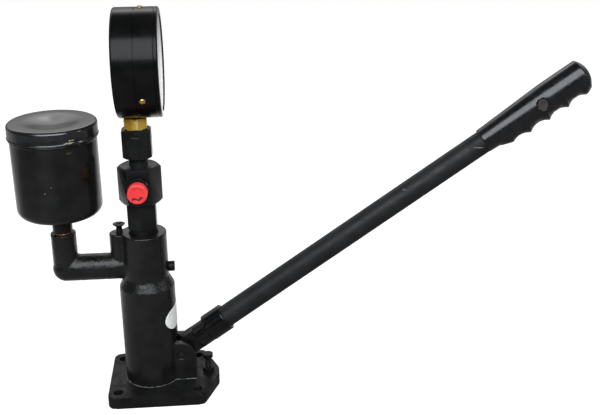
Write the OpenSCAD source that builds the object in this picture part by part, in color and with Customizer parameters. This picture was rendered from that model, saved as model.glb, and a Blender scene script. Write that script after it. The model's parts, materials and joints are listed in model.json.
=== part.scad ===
// Hand-pumped diesel injector nozzle tester.
// Origin: base underside on the pump column's axis. +X runs toward the lever, -Y toward the user,
// +Z up. The pump, valve, fuel cup and pressure gauge stand on one bolted base plate.

/* [Base plate] */
// Thickness of the plate
base_t = 12; // [11:0.5:16]
// Column axis to the plate's plain end
base_back = 43; // [42:0.5:50]
// Width of the plate across the bench
base_w = 90; // [88:1:110]
// Column axis to where the sides start to close in
base_shoulder = 52; // [51:0.5:56]
// Column axis to the plate's narrow end
base_tip = 67; // [66:0.5:76]
// Bench bolt hole
base_hole_d = 9; // [6.5:0.5:11]
// Bench bolt spacing along the plate
base_hole_dx = 78; // [76:1:80]
// Bench bolt spacing across the plate
base_hole_dy = 67; // [66:1:69]

/* [Pump body] */
// Lower column
column_d = 54; // [53:0.5:58]
// Height of the lower column
column_h = 102; // [100:1:112]
// Cast shoulder between the two columns
shoulder_h = 10; // [6:1:14]
// Upper turned cylinder
head_d = 44; // [43:0.5:48]
// Height of the upper cylinder
head_h = 46; // [45:0.5:52]
// Column axis to the fuel cup's axis
arm_reach = 76.5; // [75:0.5:90]
// Fuel arm
arm_d = 26; // [25:0.5:28]
// Upright pipe under the fuel cup
riser_d = 24; // [22:0.5:25]

/* [Lever] */
// Column axis to the lever's pivot
pivot_x = 30; // [29.5:0.1:31]
// Pivot above the base plate
pivot_h = 27; // [26:0.5:30]
// Pivot pin
pin_d = 8; // [6:0.5:9]
// Handle above the horizontal at rest
lever_angle = 34.5; // [33:0.5:36]
// Downward travel of the handle
lever_travel = 22; // [15:1:22]
// Handle tube
tube_d = 22.4; // [20:0.2:23]
// Bare tube between the socket and the grip
tube_bare = 308; // [200:1:340]
// Hand grip
grip_len = 118; // [112:1:126]

/* [Pump] */
// Plunger
plunger_d = 8; // [6:0.5:9]
// Running clearance on the radius of every sliding or turning pair
run_gap = 0.04; // [0.02:0.01:0.08]
// Wire of the return spring
spring_wire = 2.8; // [2:0.1:3]
// Curls in the return spring
spring_turns = 6; // [5:1:8]

/* [Valve and outlet] */
// Delivery valve holder across the flats
holder_af = 27; // [26.5:0.5:30]
// Height of the holder's hexagon
holder_hex_h = 27; // [22:1:32]
// Outlet block across the flats
block_af = 36; // [34:1:38]
// Height of the outlet block
block_h = 36.5; // [34:0.5:40]
// Thread of the outlet nipple
outlet_d = 14; // [12:0.5:15]

/* [Gauge] */
// Gauge case
gauge_d = 100; // [98:1:104]
// Case depth from back to front rim
gauge_depth = 41.4; // [41:0.2:45]
// Gauge nut across the flats
nut_af = 27; // [26:0.5:30]
// Height of the gauge nut
nut_h = 28; // [26:0.5:32]
// Brass gauge stem across the flats
stem_af = 20.8; // [19:0.2:22]
// Height of the brass hexagon
stem_hex_h = 11; // [9:0.5:16]

/* [Fuel cup] */
// Fuel cup
cup_d = 80; // [74:1:88]
// Height of the cup to its open rim
cup_h = 86; // [80:1:100]
// Sheet metal of the cup and lid
cup_wall = 1.4; // [1:0.1:1.8]
// Depth of the lid's skirt
lid_h = 13.5; // [12.5:0.5:16]

/* [Hidden] */
$fn = 96;
fine = 48;
eps = 0.01;
// Clear gap between pieces that move past each other
free_gap = 0.3;
// Turned face of a hexagon as a share of its flats, and the rake of its corners
hex_face = 0.48;
hex_rake = 30;

// Finishes
cast_black = [0.09, 0.09, 0.10];
oxide_black = [0.12, 0.12, 0.13];
bright_steel = [0.72, 0.73, 0.75];
gloss_black = [0.06, 0.06, 0.07];
brass = [0.80, 0.62, 0.26];
copper = [0.78, 0.42, 0.26];
cap_red = [0.86, 0.23, 0.20];
paper_white = [0.93, 0.93, 0.90];
rubber_black = [0.08, 0.08, 0.08];
clear_glass = [0.80, 0.88, 0.90, 0.35];

// Heights of the body casting
column_top = base_t + column_h;
shoulder_top = column_top + shoulder_h;
head_top = shoulder_top + head_h;
arm_rise = 11;
arm_z = shoulder_top + arm_rise;
riser_proud = 2.5;
riser_top = head_top + riser_proud;

// Base plate details
base_tip_w = 14;
base_corner_r = 8;
base_hole_mid = 6;
body_screw_d = 6;
body_screw_ring = 22;
body_screw_head_d = 10;
body_screw_head_h = 6;
body_screw_reach = 18;
screw_sink = 7;
sink_gap = 0.5;

// Lever mechanism
pivot_z = base_t + pivot_h;
pivot_bore_r = pin_d/2 + run_gap;
half_travel = lever_travel/2;
tongue_w = 14;
tongue_high = 12.2;
tongue_low = 9.2;
hub_r = 10;
slot_w = tongue_w + 1;
ear_t = 6.5;
ear_w = slot_w + 2*ear_t;
ear_r = 14;
slot_top = pivot_z + ear_r + 4;
tube_offset = 2.5;
tube_wall = 2.4;
neck_start = 22;
neck_lap = 2;
shank_r = 12.5;
neck_drop = 1.2;
socket_start = 36;
socket_end = 58;
socket_r = tube_d/2 + 2.8;
socket_bevel = 0.8;
tube_in_socket = 20;
tube_start = socket_end - tube_in_socket;
grip_start = socket_end + tube_bare;
grip_end = grip_start + grip_len;
grip_cover = 6;
tube_end = grip_end - grip_cover;
arm_half = 4.5;
nose_r = 6;
nose_z = pivot_z - pivot_x*sin(half_travel);
nose_gap = 0.1;

// Grip form: heights from the tube's surface, lengths from the grip's mouth
grip_top0 = 1.4;
grip_top1 = 4.6;
grip_lift = 0.5;
grip_rise = 73;
grip_dome = 6;
grip_drop = 4.2;
grip_ridge_at = [12, 23, 64, grip_len - 11, grip_len - 5];
grip_ridge_out = [-2.2, 1.6, 4.9, 3, 0];
grip_groove_r = 15;
grip_groove_pitch = 21;
grip_groove_first = 32;
grip_groove_count = 4;
grip_groove_floor = 0.4;
grip_screw_at = 64.5;
grip_screw_tilt = 12;
grip_recess_r = 5.5;
grip_screw_r = 1.8;
grip_head_r = 4.6;
grip_head_h = 2;
grip_seat = tube_d/2 + 0.6;

// Stop bolt under the lever
stop_x = 56;
stop_d = 6;
stop_af = 10;
stop_head_h = 4;
stop_nut_h = 5;
stop_nut_turn = 40;
stop_gap = 0.35;
stop_foot = 2;
end_angle = lever_angle - lever_travel;
neck_low = shank_r - tube_offset + neck_drop;
stop_top = pivot_z + neck_start*sin(end_angle) - neck_low*cos(end_angle) - stop_gap;

// Pump works on the column's axis
chamber_r = 17;
chamber_roof = 10;
chamber_top = column_top - chamber_roof;
foot_r = 5;
tappet_z = nose_z + nose_r + nose_gap;
foot_h = 10.5;
flange_z = tappet_z + foot_h;
flange_h = 5;
flange_top = flange_z + flange_h;
heel_r = plunger_d/2 + 2;
heel_h = 3;
plate_h = 3;
plate_r = 15.5;
plate_top = flange_top + plate_h;
spring_r = 12.6;
barrel_bore_r = plunger_d/2 + run_gap;
barrel_stem_r = 10;
barrel_head_r = 12;
barrel_low = chamber_top - 4;
barrel_ledge = arm_z - 7;
holder_thread_h = 22;
barrel_top = head_top - holder_thread_h;
groove_low = arm_z - 2;
groove_h = 7;
groove_deep = 1.5;
port_r = 1.2;
port_z = groove_low + groove_h/2;
plunger_top = port_z - 5;
lock_d = 6;
lock_z = arm_z - 3;
lock_head_d = 10;
lock_head_h = 6;
lock_socket_af = 5;
lock_socket_deep = 3;
dog_r = 2;
dog_hole_r = 2.1;
dog_end = barrel_head_r - 2.8;
dog_floor = barrel_head_r - 3.5;

// Fuel ways
way_r = 3;
nipple_r = 6;
nipple_deep = 20;
bleed_x = -(head_d/2 + 1);
bleed_boss_r = 10;
bleed_d = 6;
bleed_way_r = 1.5;
bleed_head_r = 6;
bleed_head_h = 3;
bleed_rim = 0.4;
bleed_proud = 9;
bleed_bore_deep = 22;
bleed_len = 24;
cross_w = 1.4;
cross_deep = 2;
cross_len = 7.2;

// Delivery valve and holder
holder_r = 13.5;
holder_neck = 4.5;
holder_hex_z = head_top + holder_neck;
holder_hex_top = holder_hex_z + holder_hex_h;
seat_h = 7;
seat_r = holder_r - 0.2;
seat_way_r = 1.6;
seat_cone_h = 2.5;
seat_cone_r = 4;
seat_top = barrel_top + seat_h;
valve_r = 4.5;
valve_bore_r = valve_r + run_gap;
valve_gap = 0.08;
valve_skirt = 3;
valve_guide_r = 1.5;
valve_guide_h = 6;
valve_flute_r = 1.7;
valve_flutes = 3;
valve_wire = 0.9;
valve_spring_r = 2.9;
valve_turns = 6;
valve_chamber_h = 17.5;
valve_bore_top = seat_top + valve_chamber_h;
fine_way_r = 1.5;
spigot_r = 9;
spigot_h = 10;

// Outlet block and nipple
block_z = holder_hex_top;
block_top = block_z + block_h;
block_turn = 30;
port_axis_z = block_z + 20;
port_face_r = 11;
port_face_deep = 0.6;
port_thread_r = 6;
port_thread_deep = 11;
block_front = block_af/2 - port_face_deep;
collar_r = 9.6;
collar_h = 6;
collar_end = block_front + collar_h;
nipple_len = 13;
outlet_cone_h = 4;
outlet_rim = 2;
nipple_end = collar_end + nipple_len;
cap_wall = 2.2;
cap_floor = 2;
cap_gap = 0.06;
cap_len = 10;
cap_end = nipple_end + cap_floor + free_gap;
cap_r = outlet_d/2 + cap_gap + cap_wall;
cap_ring_r = 6;
cap_ring_deep = 0.8;
neck_r = 9;
neck_h = 8;
stub_r = 8;
stub_h = 12;

// Gauge stack
nut_z = block_top + neck_h;
nut_top = nut_z + nut_h;
washer_t = 1.5;
washer_in_r = 2.5;
washer_z = nut_z + stub_h;
stem_thread_r = 7;
stem_z = washer_z + washer_t;
gauge_r = gauge_d/2;
gauge_z = nut_top + stem_hex_h + gauge_r + free_gap;
gauge_back = -14.3;
gauge_front = gauge_back + gauge_depth;
case_wall = 2;
stem_way_h = 8;
case_bevel = 1.2;
case_seam = 6;
seam_w = 0.5;
seam_deep = 0.6;
sleeve_r = gauge_r - 2.7;
sleeve_wall = 1.7;
bezel_in_r = sleeve_r + 0.2;
glass_r = bezel_in_r - free_gap;
gasket_r = bezel_in_r - 0.5;
lip_t = 1.2;
lip_r = gauge_r - 6;
dial_x = 15;
dial_t = 1;
dial_hole_r = 2;
gasket_t = 0.5;
glass_t = 2.5;
lip_x = gauge_front - lip_t;
glass_x = lip_x - gasket_t - glass_t;
spacer_wall = 2;
bezel_screw_x = 11;
bezel_screw_r = 1.3;
bezel_head_r = 2.8;
bezel_head_h = 1.8;
bezel_head_proud = 1.6;
bezel_slot_w = 0.7;
bezel_slot_deep = 0.6;

// Gauge movement
stem_shank_r = 5;
block_x0 = -6;
block_x1 = 5.5;
block_half = 8;
block_reach = 12;
block_crown = 25;
socket_low = sleeve_r - sleeve_wall - 3.5;
bourdon_r = 36;
bourdon_deep = 10;
bourdon_thick = 4;
bourdon_wall = 0.7;
bourdon_from = -25;
bourdon_to = 257;
tip_len = 5;
tip_half = 3.2;
tip_front = 8.9;
gear_module = 0.4;
pinion_teeth = 12;
sector_teeth = 90;
sector_first = -2;
sector_last = 11;
gear_angle = 20;
gear_slack = 0.12;
gear_tip = 0.8;
gear_root = 1.15;
pinion_r = gear_module*pinion_teeth/2;
sector_r = gear_module*sector_teeth/2;
gear_centres = pinion_r + sector_r;
frame_t = 1.2;
frame_x0 = block_x1;
frame_x1 = 11.7;
frame_half = 9;
frame_low = 34;
frame_high = 9.5;
post_r = 1.5;
post_inset = 2.6;
sector_x = 7.2;
sector_t = 1.6;
sector_hub_r = 3;
sector_arm_w = 4;
sector_arm_in = 4;
sector_steps = 10;
sector_rim = 2.6;
sector_shaft_r = 1.2;
pinion_shaft_r = 1;
pinion_over = 0.2;
shaft_end_gap = 0.1;
shaft_in_hub = 1;
tail_len = 6.5;
tail_angle = -85;
tail_w = 3;
tail_eye_r = 1.9;
stud_r = 0.7;
stud_proud = 0.4;
link_x = 9.2;
link_t = 1;
link_w = 3;
pointer_x = dial_x + dial_t + 1.4;
pointer_t = 0.7;
pointer_hub_r = 3.4;
pointer_hub_h = 2;
pointer_hub_low = 0.6;
pointer_len = gauge_r - 14;
pointer_tail = 12;
pointer_w = 3;
pointer_tip_w = 0.8;
pointer_zero = 225;

// Fuel cup
cup_r = cup_d/2;
washer2_t = 1.2;
collar2_r = 9.4;
washer2_r = 9.2;
collar2_h = 19;
cup_z = riser_top + washer2_t + collar2_h;
cup_top = cup_z + cup_h;
cup_round = 9;
lid_gap = 0.1;
lid_rise = 4.6;
lid_top = cup_top + lid_rise;
lid_low = lid_top - lid_h;
lid_r = cup_r + lid_gap + cup_wall;
lid_round = 3;
lid_dish_r = 29;
lid_dish_floor_r = 12;
lid_dish_deep = 2;
lid_bead = 0.5;
lid_bead_h = 1.6;
cup_bead_r = 1.1;
cup_bead_in = 0.2;
cup_bead_z = lid_low - cup_z - free_gap - cup_bead_r;
cup_screw_head_r = 10;
cup_screw_head_h = 4;
cup_screw_slot = 2;
cup_way_r = 2.5;
strainer_r = 8;
strainer_h = 15;
strainer_wall = 0.8;
strainer_hole_r = 1.3;
strainer_rows = 3;
strainer_holes = 8;

// Blank oval label wrapped on the column
label_t = 0.25;
label_azimuth = -7.5;
label_drop = 31.5;
label_z = column_top - label_drop;
label_w = 38;
label_h = 22;
label_tilt = 14;

// Point at a radius and an angle
function polar(r, a) = [r*cos(a), r*sin(a)];

// Start and end of a rounded corner, and the centre of its arc
function corner(a, p, b, r) =
  let (u = (a - p)/norm(a - p))
  let (v = (b - p)/norm(b - p))
  let (half = acos(u*v)/2)
  [p + u*r/tan(half), p + v*r/tan(half), p + (u + v)/norm(u + v)*r/sin(half)];

// Roll angle of an involute at a radius, in degrees
function involute(base, r) = let (a = acos(min(1, base/r))) tan(a)*180/PI - a;

// Half width of a gear tooth at a radius, in degrees
function tooth_half(teeth, r) =
  let (pitch = gear_module*teeth/2)
  let (base = pitch*cos(gear_angle))
  90/teeth - gear_slack/(2*pitch)*90/PI + involute(base, pitch) - involute(base, max(r, base));

// Outline of one gear tooth at an angle, from root to root
function tooth(teeth, at) =
  let (pitch = gear_module*teeth/2)
  let (low = pitch - gear_root*gear_module)
  let (high = pitch + gear_tip*gear_module)
  let (steps = 4)
  let (radii = [for (i = [0:steps]) low + (high - low)*i/steps])
  concat(
    [for (i = [0:steps]) polar(radii[i], at - tooth_half(teeth, radii[i]))],
    [for (i = [steps:-1:0]) polar(radii[i], at + tooth_half(teeth, radii[i]))]
  );

// One unbroken wire on a helix along +Z, its ends closed
module coil(mean_r, wire, turns, length) {
  rings = 8;
  sides = 6;
  count = rings*turns;
  rise = (length - wire)/count;
  points = [
    for (i = [0:count], j = [0:sides - 1])
      let (a = 360*i/rings)
      let (r = mean_r + wire/2*cos(360*j/sides))
      [r*cos(a), r*sin(a), wire/2 + i*rise + wire/2*sin(360*j/sides)]
  ];
  skin = [
    for (i = [0:count - 1], j = [0:sides - 1])
      let (k = (j + 1)%sides)
      let (a = i*sides)
      let (b = a + sides)
      each [[a + j, b + k, b + j], [a + j, a + k, b + k]]
  ];
  start = [for (j = [1:sides - 2]) [0, j + 1, j]];
  finish = [for (j = [1:sides - 2]) [count*sides, count*sides + j, count*sides + j + 1]];
  next_curl = [for (i = [rings - 1:rings + 1], j = [0:sides - 1]) points[i*sides + j]];
  echo(coil_gap = min([for (j = [0:sides - 1], q = next_curl) norm(points[j] - q)]));
  polyhedron(points, concat(start, finish, skin));
}

// Hexagon bar with turned corners at both ends, a flat toward +X before it is turned
module hex_bar(af, h, turn) {
  corner = af/sqrt(3);
  face = af*hex_face;
  reach = corner + 1;
  rake = (reach - face)*tan(hex_rake);
  rotate([0, 0, turn]) intersection() {
    rotate([0, 0, 30]) cylinder(r = corner, h = h, $fn = 6);
    rotate_extrude()
      polygon([[0, 0], [face, 0], [reach, rake], [reach, h - rake], [face, h], [0, h]]);
  }
}

// Tube or ring standing on z
module ring(outer, inner, z, h) {
  translate([0, 0, z]) difference() {
    cylinder(r = outer, h = h);
    translate([0, 0, -1]) cylinder(r = inner, h = h + 2);
  }
}

// Outline with every corner rounded
module rounded(points, r) {
  count = len(points);
  corners = [
    for (i = [0:count - 1]) corner(points[(i + count - 1)%count], points[i], points[(i + 1)%count], r)
  ];
  polygon([for (c = corners) each [c[0], c[1]]]);
  for (c = corners) translate(c[2]) circle(r);
}

// Cylinder standing between two heights
module rod(r, z0, z1) {
  translate([0, 0, z0]) cylinder(r = r, h = z1 - z0);
}

// Lever's own frame: x along the handle from the pivot, z across it
module in_lever() {
  translate([pivot_x, 0, pivot_z]) rotate([0, -lever_angle, 0]) children();
}

// Handle's own frame: z along the tube's axis from the pivot
module on_handle(s) {
  in_lever() translate([s, 0, tube_offset]) rotate([0, 90, 0]) children();
}

// Gauge's frame: x and y span the dial as seen from the front, z points out of it
module in_gauge(x) {
  translate([x, 0, gauge_z]) rotate([90, 0, 90]) children();
}

// Fuel cup's axis
module on_cup() {
  translate([-arm_reach, 0, 0]) children();
}

// Outlet's frame: z points out of the block's front
module on_outlet(y) {
  translate([0, -y, port_axis_z]) rotate([90, 0, 0]) children();
}

// Places for the bench bolts
module at_base_holes() {
  for (x = [-1, 1], y = [-1, 1])
    translate([base_hole_mid + x*base_hole_dx/2, y*base_hole_dy/2, 0]) children();
}

// Places for the screws that hold the column down
module at_body_screws() {
  for (i = [0:3]) rotate([0, 0, 45 + 90*i]) translate([body_screw_ring, 0, 0]) children();
}

module base_outline() {
  half = base_w/2;
  rounded([
    [-base_back, -half], [base_shoulder, -half], [base_tip, -base_tip_w/2],
    [base_tip, base_tip_w/2], [base_shoulder, half], [-base_back, half]
  ], base_corner_r);
}

module base_plate() {
  color(cast_black) difference() {
    linear_extrude(base_t) base_outline();
    at_base_holes() translate([0, 0, -1]) cylinder(d = base_hole_d, h = base_t + 2);
    at_body_screws() translate([0, 0, -1]) {
      cylinder(r = body_screw_head_d/2 + sink_gap, h = screw_sink + 1);
      cylinder(d = body_screw_d, h = base_t + 2);
    }
    translate([stop_x, 0, -1]) cylinder(r = stop_d/2 + run_gap, h = base_t + 2);
  }
}

module body_screws() {
  color(oxide_black) at_body_screws() difference() {
    union() {
      rod(body_screw_d/2, screw_sink - eps, base_t + body_screw_reach);
      rod(body_screw_head_d/2, screw_sink - body_screw_head_h, screw_sink);
    }
    translate([0, 0, screw_sink - body_screw_head_h - eps])
      cylinder(r = lock_socket_af/sqrt(3), h = lock_socket_deep, $fn = 6);
  }
}

// Side view of one pivot ear
module ear_profile() {
  translate([pivot_x, pivot_z]) circle(ear_r);
  translate([0, base_t]) square([pivot_x + ear_r, pivot_h]);
  translate([0, base_t]) square([pivot_x, pivot_h + ear_r]);
}

module body_form() {
  rod(column_d/2, base_t, column_top);
  translate([0, 0, column_top]) cylinder(r1 = column_d/2, r2 = head_d/2, h = shoulder_h);
  rod(head_d/2, shoulder_top - eps, head_top);
  translate([bleed_x, 0, 0]) rod(bleed_boss_r, arm_z, head_top);
  translate([-arm_reach, 0, arm_z]) rotate([0, 90, 0]) cylinder(d = arm_d, h = arm_reach);
  translate([-arm_reach, 0, arm_z]) sphere(d = arm_d);
  on_cup() rod(riser_d/2, arm_z, riser_top);
  translate([0, ear_w/2, 0]) rotate([90, 0, 0]) linear_extrude(ear_w) ear_profile();
}

module pump_body() {
  color(cast_black) difference() {
    body_form();
    rod(chamber_r, base_t - 1, chamber_top);
    translate([0, -slot_w/2, base_t - 1])
      cube([pivot_x + ear_r + 1, slot_w, slot_top - base_t + 1]);
    translate([pivot_x, ear_w, pivot_z]) rotate([90, 0, 0]) cylinder(d = pin_d, h = 2*ear_w);
    rod(barrel_stem_r, chamber_top - 1, barrel_ledge + 1);
    rod(barrel_head_r, barrel_ledge, barrel_top + 1);
    rod(holder_r, barrel_top, head_top + 1);
    at_body_screws() rod(body_screw_d/2, base_t - 1, base_t + body_screw_reach);
    translate([-arm_reach, 0, arm_z]) rotate([0, 90, 0])
      cylinder(r = way_r, h = arm_reach, $fn = fine);
    on_cup() rod(way_r, arm_z, riser_top);
    on_cup() rod(nipple_r, riser_top - nipple_deep, riser_top + 1);
    translate([bleed_x, 0, 0]) rod(bleed_way_r, arm_z, head_top);
    translate([bleed_x, 0, 0]) rod(bleed_d/2 + run_gap, head_top - bleed_bore_deep, head_top + 1);
    translate([0, 0, lock_z]) rotate([0, 90, 0]) cylinder(d = lock_d, h = head_d);
  }
}

module label() {
  flat = (label_w - label_h)/2;
  color(paper_white) intersection() {
    ring(column_d/2 + label_t, column_d/2, label_z - label_w, 2*label_w);
    rotate([0, 0, label_azimuth]) translate([0, 0, label_z]) rotate([90, 0, 90])
      linear_extrude(column_d) rotate(label_tilt) union() {
        square([2*flat, label_h], center = true);
        for (x = [-flat, flat]) translate([x, 0]) circle(d = label_h);
      }
  }
}

module pivot_pin() {
  color(oxide_black) translate([pivot_x, ear_w/2, pivot_z]) rotate([90, 0, 0])
    cylinder(d = pin_d, h = ear_w);
}

// Side view of the tongue: hub, flat bar toward the handle, short arm and rounded nose
module tongue_profile() {
  difference() {
    union() {
      circle(hub_r);
      rotate(lever_angle) translate([0, -tongue_low])
        square([neck_start + neck_lap, tongue_low + tongue_high]);
      rotate(180 + half_travel) translate([0, -arm_half]) square([pivot_x, 2*arm_half]);
      translate(polar(pivot_x, 180 + half_travel)) circle(nose_r);
    }
    circle(pivot_bore_r);
  }
}

// Tube socket, turned about the handle's axis
module socket_form() {
  end = socket_end - socket_start;
  rotate_extrude() polygon([
    [0, 0], [socket_r, 0], [socket_r, end - socket_bevel], [socket_r - socket_bevel, end],
    [tube_d/2, end], [tube_d/2, end - tube_in_socket], [0, end - tube_in_socket]
  ]);
}

module lever_head() {
  color(oxide_black) {
    translate([pivot_x, tongue_w/2, pivot_z]) rotate([90, 0, 0])
      linear_extrude(tongue_w) tongue_profile();
    on_handle(neck_start) translate([neck_drop, 0, 0])
      cylinder(r = shank_r, h = socket_start - neck_start + 1);
    on_handle(socket_start) socket_form();
  }
}

module handle_tube() {
  color(cast_black) difference() {
    on_handle(tube_start) cylinder(d = tube_d, h = tube_end - tube_start);
    on_handle(tube_start - 1) cylinder(r = tube_d/2 - tube_wall, h = tube_end - tube_start + 2);
    on_grip_screw() cylinder(r = grip_screw_r, h = tube_d, $fn = fine);
  }
}

// Frame of the grip's fixing screw: z points out of the grip on the user's side
module on_grip_screw() {
  in_lever() translate([grip_start + grip_screw_at, 0, tube_offset])
    rotate([90 - grip_screw_tilt, 0, 0]) children();
}

// Radius of a dome that is grip_dome high over a disc of radius r
function dome_r(r) = (r*r + grip_dome*grip_dome)/(2*grip_dome);

// Smooth body of the grip: widens from its mouth, runs level and ends in a dome
module grip_round() {
  r0 = tube_d/2 + grip_top0 - grip_lift;
  r1 = tube_d/2 + grip_top1 - grip_lift;
  level = grip_len - grip_dome;
  rotate_extrude() {
    polygon([[0, 0], [r0, 0], [r1, grip_rise], [r1, level], [0, level]]);
    translate([0, level]) intersection() {
      translate([0, grip_dome - dome_r(r1)]) circle(dome_r(r1));
      square([r1, grip_dome]);
    }
  }
}

// Ridges between the fingers: a scalloped body turned about an axis below the tube's
module grip_ridges() {
  last = len(grip_ridge_at) - 1;
  edge = [for (i = [0:last]) [tube_d/2 + grip_ridge_out[i], grip_ridge_at[i]]];
  rotate_extrude() difference() {
    polygon(concat([[0, grip_ridge_at[0]]], edge, [[0, grip_ridge_at[last]]]));
    for (i = [0:grip_groove_count - 1])
      translate([
        tube_d/2 - grip_groove_floor + grip_groove_r, grip_groove_first + i*grip_groove_pitch
      ]) circle(grip_groove_r);
  }
}

module grip() {
  color(gloss_black) difference() {
    union() {
      on_handle(grip_start) translate([-grip_lift, 0, 0]) grip_round();
      on_handle(grip_start) translate([grip_drop, 0, 0]) grip_ridges();
    }
    on_handle(grip_start - 1) cylinder(d = tube_d, h = grip_len - grip_cover + 1);
    on_grip_screw() cylinder(r = grip_screw_r, h = tube_d, $fn = fine);
    on_grip_screw() translate([0, 0, grip_seat]) cylinder(r = grip_recess_r, h = tube_d);
  }
}

module grip_screw() {
  top = grip_seat + grip_head_h;
  color(oxide_black) on_grip_screw() difference() {
    union() {
      rod(grip_screw_r, tube_d/2 - 2*tube_wall, grip_seat + eps);
      rod(grip_head_r, grip_seat, top);
    }
    translate([-cross_w/2, -grip_head_r - 1, top - cross_w])
      cube([cross_w, 2*grip_head_r + 2, cross_w + 1]);
  }
}

module stop_bolt() {
  color(oxide_black) translate([stop_x, 0, 0]) {
    rod(stop_d/2, stop_foot, stop_top - stop_head_h + eps);
    translate([0, 0, stop_top - stop_head_h]) hex_bar(stop_af, stop_head_h, 0);
  }
}

module stop_nut() {
  color(oxide_black) translate([stop_x, 0, base_t]) difference() {
    hex_bar(stop_af, stop_nut_h, stop_nut_turn);
    translate([0, 0, -1]) cylinder(r = stop_d/2 + run_gap, h = stop_nut_h + 2);
  }
}

module tappet() {
  color(bright_steel) difference() {
    union() {
      rod(foot_r, tappet_z, flange_z + eps);
      rod(chamber_r - run_gap, flange_z, flange_top);
    }
    rod(heel_r + run_gap, flange_top - heel_h, flange_top + 1);
  }
}

module spring_plate() {
  color(bright_steel) ring(plate_r, plunger_d/2 + run_gap, flange_top, plate_h);
}

module plunger() {
  color(bright_steel) {
    rod(heel_r, flange_top - heel_h, flange_top);
    rod(plunger_d/2, flange_top - eps, plunger_top);
  }
}

module return_spring() {
  color(bright_steel) translate([0, 0, plate_top])
    coil(spring_r, spring_wire, spring_turns, chamber_top - plate_top);
}

module pump_barrel() {
  color(bright_steel) difference() {
    union() {
      rod(barrel_stem_r, barrel_low, barrel_ledge + eps);
      rod(barrel_head_r, barrel_ledge, barrel_top);
    }
    rod(barrel_bore_r, barrel_low - 1, barrel_top + 1);
    ring(barrel_head_r + 1, barrel_head_r - groove_deep, groove_low, groove_h);
    translate([-barrel_head_r - 1, 0, port_z]) rotate([0, 90, 0])
      cylinder(r = port_r, h = barrel_head_r + 1, $fn = fine);
    translate([dog_floor, 0, lock_z]) rotate([0, 90, 0])
      cylinder(r = dog_hole_r, h = barrel_head_r, $fn = fine);
  }
}

module locating_screw() {
  seat = head_d/2;
  color(oxide_black) translate([0, 0, lock_z]) rotate([0, 90, 0]) difference() {
    union() {
      rod(dog_r, dog_end, barrel_head_r + 1);
      rod(lock_d/2, barrel_head_r + free_gap, seat + eps);
      rod(lock_head_d/2, seat, seat + lock_head_h);
    }
    translate([0, 0, seat + lock_head_h - lock_socket_deep])
      cylinder(r = lock_socket_af/sqrt(3), h = lock_socket_deep + 1, $fn = 6);
  }
}

module bleed_screw() {
  top = head_top + bleed_proud;
  color(bright_steel) translate([bleed_x, 0, 0]) difference() {
    union() {
      rod(bleed_d/2, top - bleed_len, top - bleed_head_h + eps);
      translate([0, 0, top - bleed_head_h])
        cylinder(r1 = bleed_d/2, r2 = bleed_head_r, h = bleed_head_h - bleed_rim);
      rod(bleed_head_r, top - bleed_rim - eps, top);
    }
    for (a = [45, 135]) rotate([0, 0, a]) translate([-cross_len/2, -cross_w/2, top - cross_deep])
      cube([cross_len, cross_w, cross_deep + 1]);
  }
}

module valve_seat() {
  color(bright_steel) difference() {
    rod(seat_r, barrel_top, seat_top);
    rod(seat_way_r, barrel_top - 1, seat_top);
    translate([0, 0, seat_top - seat_cone_h])
      cylinder(r1 = seat_way_r, r2 = seat_cone_r, h = seat_cone_h + eps);
  }
}

module delivery_valve() {
  low = seat_top - seat_cone_h + valve_gap;
  cone_top = seat_top + valve_gap;
  skirt_top = cone_top + valve_skirt;
  color(bright_steel) difference() {
    union() {
      translate([0, 0, low])
        cylinder(r1 = seat_way_r - valve_gap, r2 = seat_cone_r - valve_gap, h = seat_cone_h);
      rod(valve_r, cone_top - eps, skirt_top);
      rod(valve_guide_r, skirt_top - eps, skirt_top + valve_guide_h);
    }
    for (i = [0:valve_flutes - 1])
      rotate([0, 0, 60 + i*360/valve_flutes]) translate([valve_r, 0, 0])
        rod(valve_flute_r, cone_top - 1, skirt_top + 1);
  }
}

module valve_spring() {
  low = seat_top + valve_gap + valve_skirt;
  color(bright_steel) translate([0, 0, low])
    coil(valve_spring_r, valve_wire, valve_turns, valve_bore_top - low);
}

module valve_holder() {
  color(oxide_black) difference() {
    union() {
      rod(holder_r, seat_top, holder_hex_z + eps);
      translate([0, 0, holder_hex_z]) hex_bar(holder_af, holder_hex_h, 0);
      rod(spigot_r, holder_hex_top - eps, holder_hex_top + spigot_h);
    }
    rod(valve_bore_r, seat_top - 1, valve_bore_top);
    rod(fine_way_r, valve_bore_top - 1, holder_hex_top + spigot_h + 1);
  }
}

module outlet_block() {
  color(oxide_black) difference() {
    union() {
      translate([0, 0, block_z]) hex_bar(block_af, block_h, block_turn);
      rod(neck_r, block_top - eps, nut_z);
      rod(stub_r, nut_z - eps, nut_z + stub_h);
    }
    rod(spigot_r, block_z - 1, block_z + spigot_h);
    rod(fine_way_r, block_z, nut_z + stub_h + 1);
    on_outlet(block_front) cylinder(r = port_face_r, h = block_af);
    on_outlet(block_front - port_thread_deep) cylinder(r = port_thread_r, h = block_af);
    on_outlet(0) cylinder(r = fine_way_r, h = block_af, $fn = fine);
  }
}

module outlet_nipple() {
  color(oxide_black) difference() {
    union() {
      on_outlet(block_front - port_thread_deep) cylinder(r = port_thread_r, h = port_thread_deep + eps);
      on_outlet(block_front) cylinder(r = collar_r, h = collar_h);
      on_outlet(collar_end - eps) cylinder(d = outlet_d, h = nipple_len + eps);
    }
    on_outlet(0) cylinder(r = fine_way_r, h = nipple_end + 1, $fn = fine);
    on_outlet(nipple_end - outlet_cone_h)
      cylinder(r1 = fine_way_r, r2 = outlet_d/2 - outlet_rim, h = outlet_cone_h + eps);
  }
}

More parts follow.
